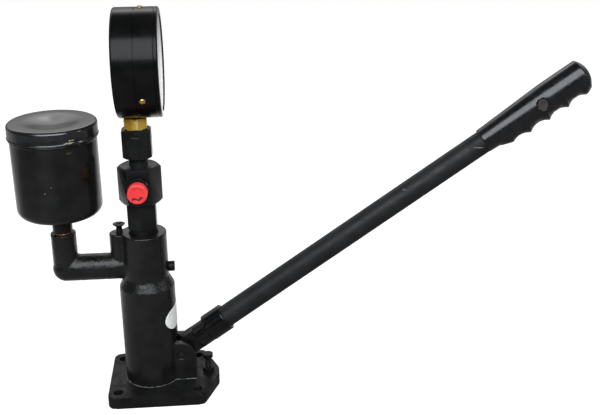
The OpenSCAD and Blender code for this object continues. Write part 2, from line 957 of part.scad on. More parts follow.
module outlet_cap() {
  color(cap_red) difference() {
    on_outlet(cap_end - cap_len) cylinder(r = cap_r, h = cap_len);
    on_outlet(cap_end - cap_len - 1) cylinder(r = outlet_d/2 + cap_gap, h = cap_len - cap_floor + 1);
    on_outlet(cap_end - cap_ring_deep) cylinder(r = cap_ring_r, h = cap_len);
  }
}

module gauge_nut() {
  color(oxide_black) difference() {
    translate([0, 0, nut_z]) hex_bar(nut_af, nut_h, 0);
    rod(stub_r, nut_z - 1, stem_z);
    rod(stem_thread_r, nut_z, nut_top + 1);
  }
}

module gauge_washer() {
  color(copper) ring(stub_r, washer_in_r, washer_z, washer_t);
}

// Brass stem outside the gauge and the block that carries the movement inside it
module gauge_socket() {
  color(brass) difference() {
    union() {
      rod(stem_thread_r, stem_z, nut_top + eps);
      translate([0, 0, nut_top]) hex_bar(stem_af, stem_hex_h, 0);
      rod(stem_shank_r, nut_top + stem_hex_h - eps, gauge_z - socket_low + eps);
      in_gauge(block_x0) linear_extrude(block_x1 - block_x0) socket_face();
    }
    rod(fine_way_r, stem_z - 1, gauge_z - bourdon_r);
    in_gauge(0) rotate([0, 0, bourdon_to]) translate([bourdon_r, -1, 0]) rotate([-90, 0, 0])
      cylinder(r = fine_way_r, h = block_half, $fn = fine);
  }
}

// Front view of the block: its left face meets the end of the curved tube squarely
module socket_face() {
  difference() {
    translate([-block_reach, -socket_low]) square([block_reach + block_half, socket_low - block_crown]);
    rotate(bourdon_to - 180) translate([-2*gauge_r, 0]) square(2*gauge_r);
  }
}

// Places for the screws round the bezel, their z axes pointing outward
module at_bezel_screws() {
  for (a = [90, 210, 330])
    in_gauge(bezel_screw_x) rotate([0, 0, a]) rotate([0, 90, 0]) children();
}

module gauge_case() {
  color(gloss_black) difference() {
    in_gauge(0) rotate_extrude() polygon([
      [0, gauge_back], [gauge_r - case_bevel, gauge_back], [gauge_r, gauge_back + case_bevel],
      [gauge_r, case_seam - seam_w], [gauge_r - seam_deep, case_seam - seam_w],
      [gauge_r - seam_deep, case_seam], [sleeve_r, case_seam], [sleeve_r, dial_x],
      [sleeve_r - sleeve_wall, dial_x], [sleeve_r - sleeve_wall, case_seam - case_wall],
      [gauge_r - case_wall, case_seam - case_wall], [gauge_r - case_wall, gauge_back + case_wall],
      [0, gauge_back + case_wall]
    ]);
    rod(stem_shank_r, gauge_z - gauge_r - 1, gauge_z - gauge_r + stem_way_h);
    at_bezel_screws() rod(bezel_screw_r, gauge_r/2, gauge_r + 1);
  }
}

module gauge_bezel() {
  color(gloss_black) difference() {
    in_gauge(0) rotate_extrude() polygon([
      [bezel_in_r, case_seam], [gauge_r, case_seam], [gauge_r, gauge_front - case_bevel],
      [gauge_r - case_bevel, gauge_front], [lip_r, gauge_front], [lip_r, lip_x],
      [bezel_in_r, lip_x]
    ]);
    at_bezel_screws() rod(bezel_screw_r, gauge_r/2, gauge_r + 1);
    at_bezel_screws() rod(bezel_head_r, gauge_r - bezel_head_h + bezel_head_proud, gauge_r + 2);
  }
}

module bezel_screws() {
  top = gauge_r + bezel_head_proud;
  color(brass) at_bezel_screws() difference() {
    union() {
      rod(bezel_screw_r, sleeve_r - sleeve_wall, top - bezel_head_h + eps);
      rod(bezel_head_r, top - bezel_head_h, top);
    }
    translate([-bezel_head_r - 1, -bezel_slot_w/2, top - bezel_slot_deep])
      cube([2*bezel_head_r + 2, bezel_slot_w, bezel_slot_deep + 1]);
  }
}

module gauge_gasket() {
  color(rubber_black) in_gauge(lip_x - gasket_t) ring(gasket_r, lip_r, 0, gasket_t);
}

module gauge_glass() {
  color(clear_glass) in_gauge(glass_x) cylinder(r = glass_r, h = glass_t);
}

module dial_spacer() {
  low = dial_x + dial_t;
  color(paper_white) in_gauge(low) ring(glass_r, glass_r - spacer_wall, 0, glass_x - low);
}

module gauge_dial() {
  color(paper_white) in_gauge(dial_x) ring(glass_r, dial_hole_r, 0, dial_t);
}

module gauge_pointer() {
  color(rubber_black) in_gauge(pointer_x) rotate([0, 0, pointer_zero]) difference() {
    union() {
      linear_extrude(pointer_t) polygon([
        [-pointer_tail, -pointer_w/2], [0, -pointer_w/2], [pointer_len, -pointer_tip_w/2],
        [pointer_len, pointer_tip_w/2], [0, pointer_w/2], [-pointer_tail, pointer_w/2]
      ]);
      translate([0, 0, -pointer_hub_low]) cylinder(r = pointer_hub_r, h = pointer_hub_h);
    }
    translate([0, 0, -pointer_hub_low - 1]) cylinder(r = pinion_shaft_r, h = pointer_hub_h + 2);
  }
}

module pinion() {
  pitch = 360/pinion_teeth;
  low = frame_x0 + shaft_end_gap;
  color(brass) {
    in_gauge(sector_x - pinion_over) linear_extrude(sector_t + 2*pinion_over)
      polygon([for (i = [0:pinion_teeth - 1]) each tooth(pinion_teeth, -90 + (i + 0.5)*pitch)]);
    in_gauge(low) cylinder(r = pinion_shaft_r, h = pointer_x + shaft_in_hub - low);
  }
}

// Sector's own frame: x and y span the dial, on the sector's shaft
module on_sector(x) {
  in_gauge(x) translate([0, -gear_centres, 0]) children();
}

// Toothed rim, two arms and the tail that the link pulls
module sector_profile() {
  pitch = 360/sector_teeth;
  low = sector_r - gear_root*gear_module - sector_rim;
  first = 90 - sector_last*pitch;
  last = 90 - sector_first*pitch;
  teeth = [for (i = [sector_last:-1:sector_first]) each tooth(sector_teeth, 90 - i*pitch)];
  arc = [for (k = [sector_steps:-1:0]) polar(low, first + (last - first)*k/sector_steps)];
  polygon(concat(teeth, arc));
  for (a = [first + sector_arm_in, last - sector_arm_in])
    rotate(a) translate([0, -sector_arm_w/2]) square([low + 1, sector_arm_w]);
  circle(sector_hub_r);
  rotate(tail_angle) translate([0, -tail_w/2]) square([tail_len, tail_w]);
  translate(polar(tail_len, tail_angle)) circle(tail_eye_r);
}

module sector_gear() {
  color(brass) {
    on_sector(sector_x) linear_extrude(sector_t) sector_profile();
    on_sector(frame_x0 + shaft_end_gap)
      cylinder(r = sector_shaft_r, h = frame_x1 + frame_t - frame_x0 - 2*shaft_end_gap);
    on_sector(sector_x) translate(polar(tail_len, tail_angle))
      cylinder(r = stud_r, h = link_x + link_t - sector_x + stud_proud);
  }
}

// Link from the sector's tail to the tip of the curved tube
module sector_link() {
  tail = polar(tail_len, tail_angle) - [0, gear_centres];
  tip = polar(bourdon_r, bourdon_from - tip_len/2*180/PI/bourdon_r);
  run = tip - tail;
  color(brass) in_gauge(link_x) difference() {
    union() {
      translate(tail) rotate([0, 0, atan2(run[1], run[0])]) translate([0, -link_w/3, 0])
        cube([norm(run), link_w*2/3, link_t]);
      for (p = [tail, tip]) translate(p) cylinder(d = link_w, h = link_t, $fn = fine);
    }
    translate([tail[0], tail[1], -1]) cylinder(r = stud_r + run_gap, h = link_t + 2, $fn = fine);
    translate([tip[0], tip[1], -1]) cylinder(r = stud_r, h = link_t + 2, $fn = fine);
  }
}

module frame_plate(x) {
  in_gauge(x) linear_extrude(frame_t) difference() {
    translate([-frame_half, -frame_low]) square([2*frame_half, frame_low + frame_high]);
    circle(pinion_shaft_r + run_gap);
    translate([0, -gear_centres]) circle(sector_shaft_r + run_gap);
  }
}

module movement_frame() {
  color(brass) {
    frame_plate(frame_x0);
    frame_plate(frame_x1);
    for (y = [-1, 1], z = [-frame_low + post_inset, frame_high - post_inset])
      in_gauge(frame_x0) translate([y*(frame_half - post_inset), z, 0])
        cylinder(r = post_r, h = frame_x1 - frame_x0 + eps);
  }
}

// Flat-sided section of the curved tube, thinned by a wall
module bourdon_section(wall) {
  r = bourdon_thick/2 - wall;
  flat = bourdon_deep/2 - bourdon_thick/2;
  translate([bourdon_r, 0]) {
    square([2*r, 2*flat], center = true);
    for (y = [-flat, flat]) translate([0, y]) circle(r);
  }
}

module bourdon_tube() {
  sweep = bourdon_to - bourdon_from;
  color(brass) in_gauge(0) rotate([0, 0, bourdon_from]) rotate_extrude(angle = sweep) difference() {
    bourdon_section(0);
    bourdon_section(bourdon_wall);
  }
}

module tube_tip() {
  color(brass) in_gauge(-bourdon_deep/2) rotate([0, 0, bourdon_from])
    translate([bourdon_r - tip_half, -tip_len, 0])
      cube([2*tip_half, tip_len, bourdon_deep/2 + tip_front]);
}

// Half section of a round-bottomed pot
module pot_section(r, h, round) {
  square([r - round, h]);
  translate([0, round]) square([r, h - round]);
  translate([r - round, round]) circle(round);
}

module reservoir_cup() {
  color(gloss_black) on_cup() translate([0, 0, cup_z]) rotate_extrude() difference() {
    union() {
      pot_section(cup_r, cup_h, cup_round);
      translate([cup_r - cup_bead_in, cup_bead_z]) circle(cup_bead_r);
    }
    translate([0, cup_wall]) pot_section(cup_r - cup_wall, cup_h, cup_round - cup_wall);
    translate([0, -1]) square([nipple_r, cup_round]);
  }
}

// Half section of the lid: rounded edge, dished top, open below
module lid_section() {
  inner = cup_r + lid_gap;
  dish_z = lid_top - lid_dish_deep;
  difference() {
    union() {
      translate([0, lid_low]) square([lid_r, lid_h - lid_round]);
      translate([0, lid_low]) square([lid_r - lid_round, lid_h]);
      translate([lid_r - lid_round, lid_top - lid_round]) circle(lid_round);
      translate([0, lid_low]) square([lid_r + lid_bead, lid_bead_h]);
    }
    translate([0, lid_low - 1]) square([inner, cup_top - lid_low + 1]);
    polygon([
      [0, cup_top - 1], [inner, cup_top - 1], [inner - lid_round, lid_top - cup_wall],
      [lid_dish_r + cup_wall, lid_top - cup_wall], [lid_dish_floor_r + cup_wall, dish_z - cup_wall],
      [0, dish_z - cup_wall]
    ]);
    polygon([[0, dish_z], [lid_dish_floor_r, dish_z], [lid_dish_r, lid_top + 1], [0, lid_top + 1]]);
  }
}

module reservoir_lid() {
  color(gloss_black) on_cup() rotate_extrude() lid_section();
}

module reservoir_collar() {
  color(oxide_black) on_cup() ring(collar2_r, nipple_r, riser_top + washer2_t, collar2_h);
}

module reservoir_washer() {
  color(copper) on_cup() ring(washer2_r, nipple_r, riser_top, washer2_t);
}

// Hollow screw that clamps the cup to the riser and feeds the arm
module reservoir_screw() {
  floor_z = cup_z + cup_wall;
  top = floor_z + cup_screw_head_h;
  color(brass) on_cup() difference() {
    union() {
      rod(nipple_r, riser_top - nipple_deep + 1, floor_z + eps);
      rod(cup_screw_head_r, floor_z, top);
    }
    rod(cup_way_r, riser_top - nipple_deep, top + 1);
    translate([-cup_screw_head_r - 1, -cup_screw_slot/2, top - cup_screw_slot])
      cube([2*cup_screw_head_r + 2, cup_screw_slot, cup_screw_slot + 1]);
  }
}

// Perforated cap over the hollow screw's mouth
module strainer() {
  low = cup_z + cup_wall + cup_screw_head_h;
  color(brass) on_cup() translate([0, 0, low]) difference() {
    cylinder(r = strainer_r, h = strainer_h);
    translate([0, 0, -1]) cylinder(r = strainer_r - strainer_wall, h = strainer_h - strainer_wall + 1);
    for (row = [1:strainer_rows], i = [0:strainer_holes - 1])
      translate([0, 0, row*strainer_h/(strainer_rows + 1)])
        rotate([0, 90, (i + row/2)*360/strainer_holes])
          cylinder(r = strainer_hole_r, h = strainer_r + 1, $fn = 24);
  }
}

base_plate();
body_screws();
pump_body();
label();
pivot_pin();
lever_head();
handle_tube();
grip();
grip_screw();
stop_bolt();
stop_nut();
tappet();
spring_plate();
plunger();
return_spring();
pump_barrel();
locating_screw();
bleed_screw();
valve_seat();
delivery_valve();
valve_spring();
valve_holder();
outlet_block();
outlet_nipple();
outlet_cap();
gauge_nut();
gauge_washer();
gauge_socket();
gauge_case();
gauge_bezel();
bezel_screws();
gauge_gasket();
gauge_glass();
dial_spacer();
gauge_dial();
gauge_pointer();
pinion();
sector_gear();
sector_link();
movement_frame();
bourdon_tube();
tube_tip();
reservoir_cup();
reservoir_lid();
reservoir_collar();
reservoir_washer();
reservoir_screw();
strainer();
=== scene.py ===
"""Looks of a hand-pumped diesel injector tester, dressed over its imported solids.

Sizes in the classes are millimetres in the part's own frame: +X toward the lever, -Y toward the
user, +Z up, with the origin under the pump column. Meshes are made in metres.
"""

import json
import logging
import math
from collections.abc import Callable, Iterable, Sequence
from dataclasses import dataclass, field
from enum import Enum

import bpy
from mathutils import Matrix, Vector


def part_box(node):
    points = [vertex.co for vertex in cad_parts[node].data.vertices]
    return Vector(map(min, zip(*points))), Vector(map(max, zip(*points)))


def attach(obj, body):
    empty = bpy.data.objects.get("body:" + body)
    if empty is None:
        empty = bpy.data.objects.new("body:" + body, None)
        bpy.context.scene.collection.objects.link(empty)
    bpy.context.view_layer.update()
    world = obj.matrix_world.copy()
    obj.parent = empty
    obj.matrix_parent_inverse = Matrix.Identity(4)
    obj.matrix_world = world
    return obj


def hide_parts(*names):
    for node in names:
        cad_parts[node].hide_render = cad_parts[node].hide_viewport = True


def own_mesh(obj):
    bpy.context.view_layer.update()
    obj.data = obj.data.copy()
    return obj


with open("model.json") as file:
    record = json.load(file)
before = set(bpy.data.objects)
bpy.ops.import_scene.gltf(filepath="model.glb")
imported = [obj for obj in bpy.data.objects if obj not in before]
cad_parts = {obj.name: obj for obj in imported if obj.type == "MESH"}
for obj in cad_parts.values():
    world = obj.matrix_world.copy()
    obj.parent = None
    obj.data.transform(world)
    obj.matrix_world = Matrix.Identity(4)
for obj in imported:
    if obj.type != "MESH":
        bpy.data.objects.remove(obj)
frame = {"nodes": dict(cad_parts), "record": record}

LOG = logging.getLogger("injector_tester")
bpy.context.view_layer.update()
MM = 0.001
HANDLE_TURN = 34.5  # degrees above level, with the lever at rest
PIVOT = (30.0, 39.0)  # X and Z of the lever's pin
CAST_ANGLE = 60.0  # sharpest edge, in degrees, that a casting or moulding shades smooth
THIN_ANGLE = 40.0  # the same for spun sheet and wire
TOWARD_USER = Matrix.Rotation(math.pi / 2, 4, "X")  # brings Z to -Y
TOWARD_LEVER = Matrix(((0, 0, 1, 0), (1, 0, 0, 0), (0, 1, 0, 0), (0, 0, 0, 1)))  # brings Z to +X
BODY_OF = {n: body for body, nodes in frame["record"]["behaviour"]["bodies"].items() for n in nodes}

Colour = tuple[float, float, float, float]
Point = tuple[float, float, float]
Span = tuple[float, float]  # low and high end
Rod = tuple[float, float, float]  # radius, low and high end
Profile = Sequence[tuple[float, float]]
Feed = bpy.types.NodeSocket | float | tuple[float, ...]


def tint(red: float, green: float, blue: float) -> Colour:
    """Gives an opaque colour in linear light."""
    return (red, green, blue, 1.0)


class Axis(Enum):
    """Axis that a turned surface runs round."""

    X = 0
    Y = 1
    Z = 2


class Effect(Enum):
    """Shader effects that several finishes share."""

    TONE = "slow_tone"
    GRAIN = "cast_grain"
    WEAR = "edge_wear_and_glint"
    SCUFF = "long_scuffs"
    SPECK = "dust_specks"
    TURNED = "turning_marks"
    PLACED = "placed_mark"


@dataclass
class Weaver:
    """Adds and links nodes in one shader tree."""

    tree: bpy.types.NodeTree

    def feed(self, socket: bpy.types.NodeSocket, value: Feed) -> None:
        """Links a socket to another one, or sets its constant.

        Args:
            socket: Input to fill.
            value: Socket to link from, or a constant.
        """
        if isinstance(value, bpy.types.NodeSocket):
            self.tree.links.new(value, socket)
        else:
            socket.default_value = value

    def add(self, kind: str, feeds: dict[str | int, Feed], **settings: object) -> bpy.types.Node:
        """Adds one node.

        Args:
            kind: Blender's name of the node type.
            feeds: What goes into its inputs, by name or number.
            settings: Properties of the node.

        Returns:
            The new node.
        """
        node = self.tree.nodes.new(kind)
        for key, value in settings.items():
            setattr(node, key, value)
        for key, value in feeds.items():
            self.feed(node.inputs[key], value)
        return node

    def maths(self, operation: str, first: Feed, second: Feed = 0.0) -> bpy.types.NodeSocket:
        """Adds a Math node and gives its output."""
        return self.add("ShaderNodeMath", {0: first, 1: second}, operation=operation).outputs[0]

    def ramp(self, value: Feed, low: Feed, high: Feed) -> bpy.types.NodeSocket:
        """Gives 0 below low, 1 above high and a smooth step between.

        Args:
            value: Value that is stepped.
            low: Where the step starts.
            high: Where it ends.

        Returns:
            The step's socket.
        """
        feeds = {"Value": value, "From Min": low, "From Max": high}
        node = self.add("ShaderNodeMapRange", feeds, interpolation_type="SMOOTHSTEP")
        return node.outputs["Result"]

    def blend(self, mask: Feed, first: Feed, second: Feed) -> bpy.types.NodeSocket:
        """Mixes two colours by a mask."""
        node = self.add("ShaderNodeMix", {0: mask, 6: first, 7: second}, data_type="RGBA")
        return node.outputs[2]

    def noise(self, vector: Feed, scale: Feed, detail: float) -> bpy.types.NodeSocket:
        """Gives a 3-D noise value."""
        feeds = {"Vector": vector, "Scale": scale, "Detail": detail}
        return self.add("ShaderNodeTexNoise", feeds).outputs[0]

    def per_length(self, length: Feed) -> bpy.types.NodeSocket:
        """Gives the texture scale whose features are that many millimetres across."""
        return self.maths("DIVIDE", 1.0 / MM, length)


@dataclass
class EffectGroups:
    """Builds each shared shader effect once as a node group."""

    tone_step: Span = (0.32, 0.68)
    lump_share: float = 0.7
    pit_share: float = 0.4
    pit_size: float = 2.6
    rub_step: Span = (0.42, 0.62)
    scuff_edge: float = 0.82
    scuff_gain: float = 0.2
    scuff_step: Span = (0.0, 0.03)
    ragged: float = 2.2
    mark_step: Span = (0.6, 1.0)
    made: dict[Effect, bpy.types.NodeTree] = field(default_factory=dict)

    def get(self, effect: Effect) -> bpy.types.NodeTree:
        """Gives an effect's group, building it on first use.

        Args:
            effect: Effect to look up.

        Returns:
            Its node group.
        """
        if effect not in self.made:
            makers: dict[Effect, Callable[[], bpy.types.NodeTree]] = {
                Effect.TONE: self.tone,
                Effect.GRAIN: self.grain,
                Effect.WEAR: self.wear,
                Effect.SCUFF: self.scuff,
                Effect.SPECK: self.speck,
                Effect.TURNED: self.turned,
                Effect.PLACED: self.placed,
            }
            self.made[effect] = makers[effect]()
        return self.made[effect]

    def start(
        self,
        effect: Effect,
        values: Iterable[str],
        result: str,
        vectors: Iterable[str] = ("Vector",),
    ) -> tuple[Weaver, bpy.types.Node, bpy.types.NodeSocket]:
        """Opens a group with vector inputs, float inputs and one float output.

        Args:
            effect: Effect that names the group.
            values: Names of the float inputs.
            result: Name of the output.
            vectors: Names of the vector inputs.

        Returns:
            The weaver on the group, its input node and its output's socket.
        """
        tree = bpy.data.node_groups.new(effect.value, "ShaderNodeTree")
        for name in vectors:
            tree.interface.new_socket(name, in_out="INPUT", socket_type="NodeSocketVector")
        for name in values:
            tree.interface.new_socket(name, in_out="INPUT", socket_type="NodeSocketFloat")
        tree.interface.new_socket(result, in_out="OUTPUT", socket_type="NodeSocketFloat")
        weaver = Weaver(tree)
        source = weaver.add("NodeGroupInput", {})
        return weaver, source, weaver.add("NodeGroupOutput", {}).inputs[result]

    def tone(self) -> bpy.types.NodeTree:
        """Slow patches of a colour or a gloss.

        Returns:
            The effect's node group.
        """
        w, source, out = self.start(Effect.TONE, ["Size"], "Value")
        value = w.noise(source.outputs["Vector"], w.per_length(source.outputs["Size"]), 4.0)
        w.feed(out, w.ramp(value, *self.tone_step))
        return w.tree

    def grain(self) -> bpy.types.NodeTree:
        """Lumps and pits of a sand casting.

        Returns:
            The effect's node group.
        """
        w, source, out = self.start(Effect.GRAIN, ["Size"], "Height")
        vector, size = source.outputs["Vector"], source.outputs["Size"]
        lumps = w.noise(vector, w.per_length(size), 5.0)
        wide = w.maths("MULTIPLY", size, self.pit_size)
        feeds = {"Vector": vector, "Scale": w.per_length(wide)}
        cells = w.add("ShaderNodeTexVoronoi", feeds, feature="SMOOTH_F1").outputs["Distance"]
        lumps = w.maths("MULTIPLY", lumps, self.lump_share)
        cells = w.maths("MULTIPLY", cells, self.pit_share)
        w.feed(out, w.maths("ADD", lumps, cells))
        return w.tree

    def wear(self) -> bpy.types.NodeTree:
        """Broken patches along outer edges: rubbed wear, and a painted glint on the blackened
        screws.

        Returns:
            The effect's node group.
        """
        w, source, out = self.start(Effect.WEAR, ["Size", "Low", "High"], "Mask")
        point = w.add("ShaderNodeNewGeometry", {}).outputs["Pointiness"]
        edge = w.ramp(point, source.outputs["Low"], source.outputs["High"])
        broken = w.noise(source.outputs["Vector"], w.per_length(source.outputs["Size"]), 5.0)
        w.feed(out, w.maths("MULTIPLY", edge, w.ramp(broken, *self.rub_step)))
        return w.tree

    def scuff(self) -> bpy.types.NodeTree:
        """Scratches that run along the vector's X.

        Returns:
            The effect's node group.
        """
        w, source, out = self.start(Effect.SCUFF, ["Length", "Width", "Amount"], "Mask")
        across = w.per_length(source.outputs["Width"])
        feeds = {"X": w.per_length(source.outputs["Length"]), "Y": across, "Z": across}
        pull = w.add("ShaderNodeCombineXYZ", feeds).outputs["Vector"]
        feeds = {0: source.outputs["Vector"], 1: pull}
        drawn = w.add("ShaderNodeVectorMath", feeds, operation="MULTIPLY").outputs["Vector"]
        value = w.noise(drawn, 1.0, 1.0)
        gain = w.maths("MULTIPLY", source.outputs["Amount"], self.scuff_gain)
        edge = w.maths("SUBTRACT", self.scuff_edge, gain)
        over = w.maths("SUBTRACT", value, edge)
        w.feed(out, w.ramp(over, *self.scuff_step))
        return w.tree

    def speck(self) -> bpy.types.NodeTree:
        """Small dots, in a share of the cells.

        Returns:
            The effect's node group.
        """
        w, source, out = self.start(Effect.SPECK, ["Size", "Radius", "Amount"], "Mask")
        feeds = {"Vector": source.outputs["Vector"], "Scale": w.per_length(source.outputs["Size"])}
        cells = w.add("ShaderNodeTexVoronoi", feeds)
        near = w.maths("LESS_THAN", cells.outputs["Distance"], source.outputs["Radius"])
        lot = w.add("ShaderNodeSeparateColor", {"Color": cells.outputs["Color"]}).outputs[0]
        w.feed(out, w.maths("MULTIPLY", near, w.maths("LESS_THAN", lot, source.outputs["Amount"])))
        return w.tree

    def turned(self) -> bpy.types.NodeTree:
        """Fine rings left by a lathe, along the vector's Z.

        Returns:
            The effect's node group.
        """
        w, source, out = self.start(Effect.TURNED, ["Pitch"], "Height")
        along = w.add("ShaderNodeSeparateXYZ", {0: source.outputs["Vector"]}).outputs["Z"]
        place = w.maths("MULTIPLY", along, w.per_length(source.outputs["Pitch"]))
        feeds = {"W": place, "Scale": 1.0, "Detail": 3.0}
        w.feed(out, w.add("ShaderNodeTexNoise", feeds, noise_dimensions="1D").outputs[0])
        return w.tree

    def placed(self) -> bpy.types.NodeTree:
        """One ragged mark round a place.

        Returns:
            The effect's node group.
        """
        w, source, out = self.start(Effect.PLACED, ["Size"], "Mask", ("Vector", "Place", "Reach"))
        vector = source.outputs["Vector"]
        feeds = {0: vector, 1: source.outputs["Place"]}
        away = w.add("ShaderNodeVectorMath", feeds, operation="SUBTRACT").outputs["Vector"]
        feeds = {0: away, 1: source.outputs["Reach"]}
        share = w.add("ShaderNodeVectorMath", feeds, operation="DIVIDE").outputs["Vector"]
        length = w.add("ShaderNodeVectorMath", {0: share}, operation="LENGTH").outputs["Value"]
        ragged = w.noise(vector, w.per_length(source.outputs["Size"]), 4.0)
        uneven = w.maths("MULTIPLY", w.maths("SUBTRACT", ragged, 0.5), self.ragged)
        edge = w.maths("ADD", length, uneven)
        w.feed(out, w.maths("SUBTRACT", 1.0, w.ramp(edge, *self.mark_step)))
        return w.tree


GROUPS = EffectGroups()


@dataclass(frozen=True)
class Mark:
    """One chip, stain or patch of painted light at a known place. Lengths are millimetres."""

    place: Point
    reach: Point
    colour: Colour
    size: float = 1.6


@dataclass(frozen=True)
class Finish:
    """One surface finish. Sizes are millimetres and a size of 0 leaves its effect out."""

    name: str
    slot: str
    base: Colour
    shade: Colour
    metallic: float = 0.0
    rough: float = 0.4
    rough_spread: float = 0.1
    rough_least: float = 0.02
    rough_drift: float = 0.45
    specular: float = 0.5
    coat: float = 0.0
    coat_rough: float = 0.06
    tone_size: float = 16.0
    grain_size: float = 0.0
    grain_depth: float = 0.1
    turn_pitch: float = 0.0
    turn_depth: float = 0.02
    turn_axis: Axis = Axis.Z
    wear: Colour | None = None
    wear_low: float = 0.53
    wear_high: float = 0.62
    wear_size: float = 3.0
    scuff: Colour | None = None
    scuff_length: float = 30.0
    scuff_width: float = 0.7
    scuff_amount: float = 0.4
    scuff_turn: float = 0.0
    speck: Colour | None = None
    speck_size: float = 4.0
    speck_radius: float = 0.06
    speck_amount: float = 0.1
    marks: tuple[Mark, ...] = ()

    def effect(self, w: Weaver, effect: Effect, feeds: dict[str, Feed]) -> bpy.types.NodeSocket:
        """Places a shared effect in the material and gives its output.

        Args:
            w: Weaver on the material.
            effect: Effect to place.
            feeds: What goes into its inputs.

        Returns:
            The effect's output.
        """
        return w.add("ShaderNodeGroup", feeds, node_tree=GROUPS.get(effect)).outputs[0]

    def turned_vector(self, w: Weaver, vector: Feed) -> Feed:
        """Gives the vector with the turning axis brought to Z.

        Args:
            w: Weaver on the material.
            vector: Object coordinates.

        Returns:
            The turned vector's socket.
        """
        turns = {
            Axis.X: (0.0, -math.pi / 2, 0.0),
            Axis.Y: (math.pi / 2, 0.0, 0.0),
            Axis.Z: (0.0, 0.0, 0.0),
        }
        feeds = {"Vector": vector, "Rotation": turns[self.turn_axis]}
        return w.add("ShaderNodeMapping", feeds).outputs["Vector"]

    def colour(self, w: Weaver, vector: Feed) -> bpy.types.NodeSocket:
        """Builds the base colour.

        Args:
            w: Weaver on the material.
            vector: Object coordinates.

        Returns:
            The colour's socket.
        """
        tone = self.effect(w, Effect.TONE, {"Vector": vector, "Size": self.tone_size})
        colour = w.blend(tone, self.base, self.shade)
        if self.wear:
            feeds = {
                "Vector": vector, "Size": self.wear_size, "Low": self.wear_low,
                "High": self.wear_high,
            }
            colour = w.blend(self.effect(w, Effect.WEAR, feeds), colour, self.wear)
        if self.scuff:
            turn = (0.0, math.radians(self.scuff_turn), 0.0)
            along = w.add("ShaderNodeMapping", {"Vector": vector, "Rotation": turn})
            feeds = {
                "Vector": along.outputs["Vector"], "Length": self.scuff_length,
                "Width": self.scuff_width, "Amount": self.scuff_amount,
            }
            colour = w.blend(self.effect(w, Effect.SCUFF, feeds), colour, self.scuff)
        if self.speck:
            feeds = {
                "Vector": vector, "Size": self.speck_size, "Radius": self.speck_radius,
                "Amount": self.speck_amount,
            }
            colour = w.blend(self.effect(w, Effect.SPECK, feeds), colour, self.speck)
        for mark in self.marks:
            feeds = {
                "Vector": vector, "Place": tuple(v * MM for v in mark.place),
                "Reach": tuple(v * MM for v in mark.reach), "Size": mark.size,
            }
            colour = w.blend(self.effect(w, Effect.PLACED, feeds), colour, mark.colour)
        return colour

    def roughness(self, w: Weaver, vector: Feed) -> bpy.types.NodeSocket:
        """Builds a roughness that drifts over the surface.

        Args:
            w: Weaver on the material.
            vector: Object coordinates.

        Returns:
            The roughness's socket.
        """
        size = self.tone_size * self.rough_drift
        feeds = {
            "Value": self.effect(w, Effect.TONE, {"Vector": vector, "Size": size}),
            "To Min": max(self.rough_least, self.rough - self.rough_spread),
            "To Max": self.rough + self.rough_spread,
        }
        return w.add("ShaderNodeMapRange", feeds).outputs["Result"]

    def normal(self, w: Weaver, vector: Feed) -> bpy.types.NodeSocket | None:
        """Builds the fine relief, or gives None for a smooth surface.

        Args:
            w: Weaver on the material.
            vector: Object coordinates.

        Returns:
            The normal's socket, or None.
        """
        normal = None
        if self.grain_size:
            height = self.effect(w, Effect.GRAIN, {"Vector": vector, "Size": self.grain_size})
            height = self.zoned(w, vector, height)
            feeds = {"Height": height, "Distance": self.grain_depth * MM, "Strength": 1.0}
            normal = w.add("ShaderNodeBump", feeds).outputs["Normal"]
        if self.turn_pitch:
            feeds = {"Vector": self.turned_vector(w, vector), "Pitch": self.turn_pitch}
            height = self.turned_zone(w, vector, self.effect(w, Effect.TURNED, feeds))
            feeds = {"Height": height, "Distance": self.turn_depth * MM, "Strength": 1.0}
            bump = w.add("ShaderNodeBump", feeds)
            if normal:
                w.feed(bump.inputs["Normal"], normal)
            normal = bump.outputs["Normal"]
        return normal

    def zoned(self, w: Weaver, vector: Feed, height: Feed) -> Feed:
        """Lets a finish fade its grain over part of a piece."""
        return height

    def turned_zone(self, w: Weaver, vector: Feed, height: Feed) -> Feed:
        """Lets a finish keep its turning marks to part of a piece."""
        return height

    def make(self) -> bpy.types.Material:
        """Builds the material.

        Returns:
            A new Blender material on a Principled BSDF.
        """
        material = bpy.data.materials.new(self.name)
        material.use_nodes = True
        w = Weaver(material.node_tree)
        shader = material.node_tree.nodes["Principled BSDF"]
        vector = w.add("ShaderNodeTexCoord", {}).outputs["Object"]
        shader.inputs["Metallic"].default_value = self.metallic
        shader.inputs["Specular IOR Level"].default_value = self.specular
        shader.inputs["Coat Weight"].default_value = self.coat
        shader.inputs["Coat Roughness"].default_value = self.coat_rough
        w.feed(shader.inputs["Base Color"], self.colour(w, vector))
        w.feed(shader.inputs["Roughness"], self.roughness(w, vector))
        normal = self.normal(w, vector)
        if normal:
            w.feed(shader.inputs["Normal"], normal)
        self.extra(shader)
        return material

    def extra(self, shader: bpy.types.Node) -> None:
        """Sets what only some finishes have."""


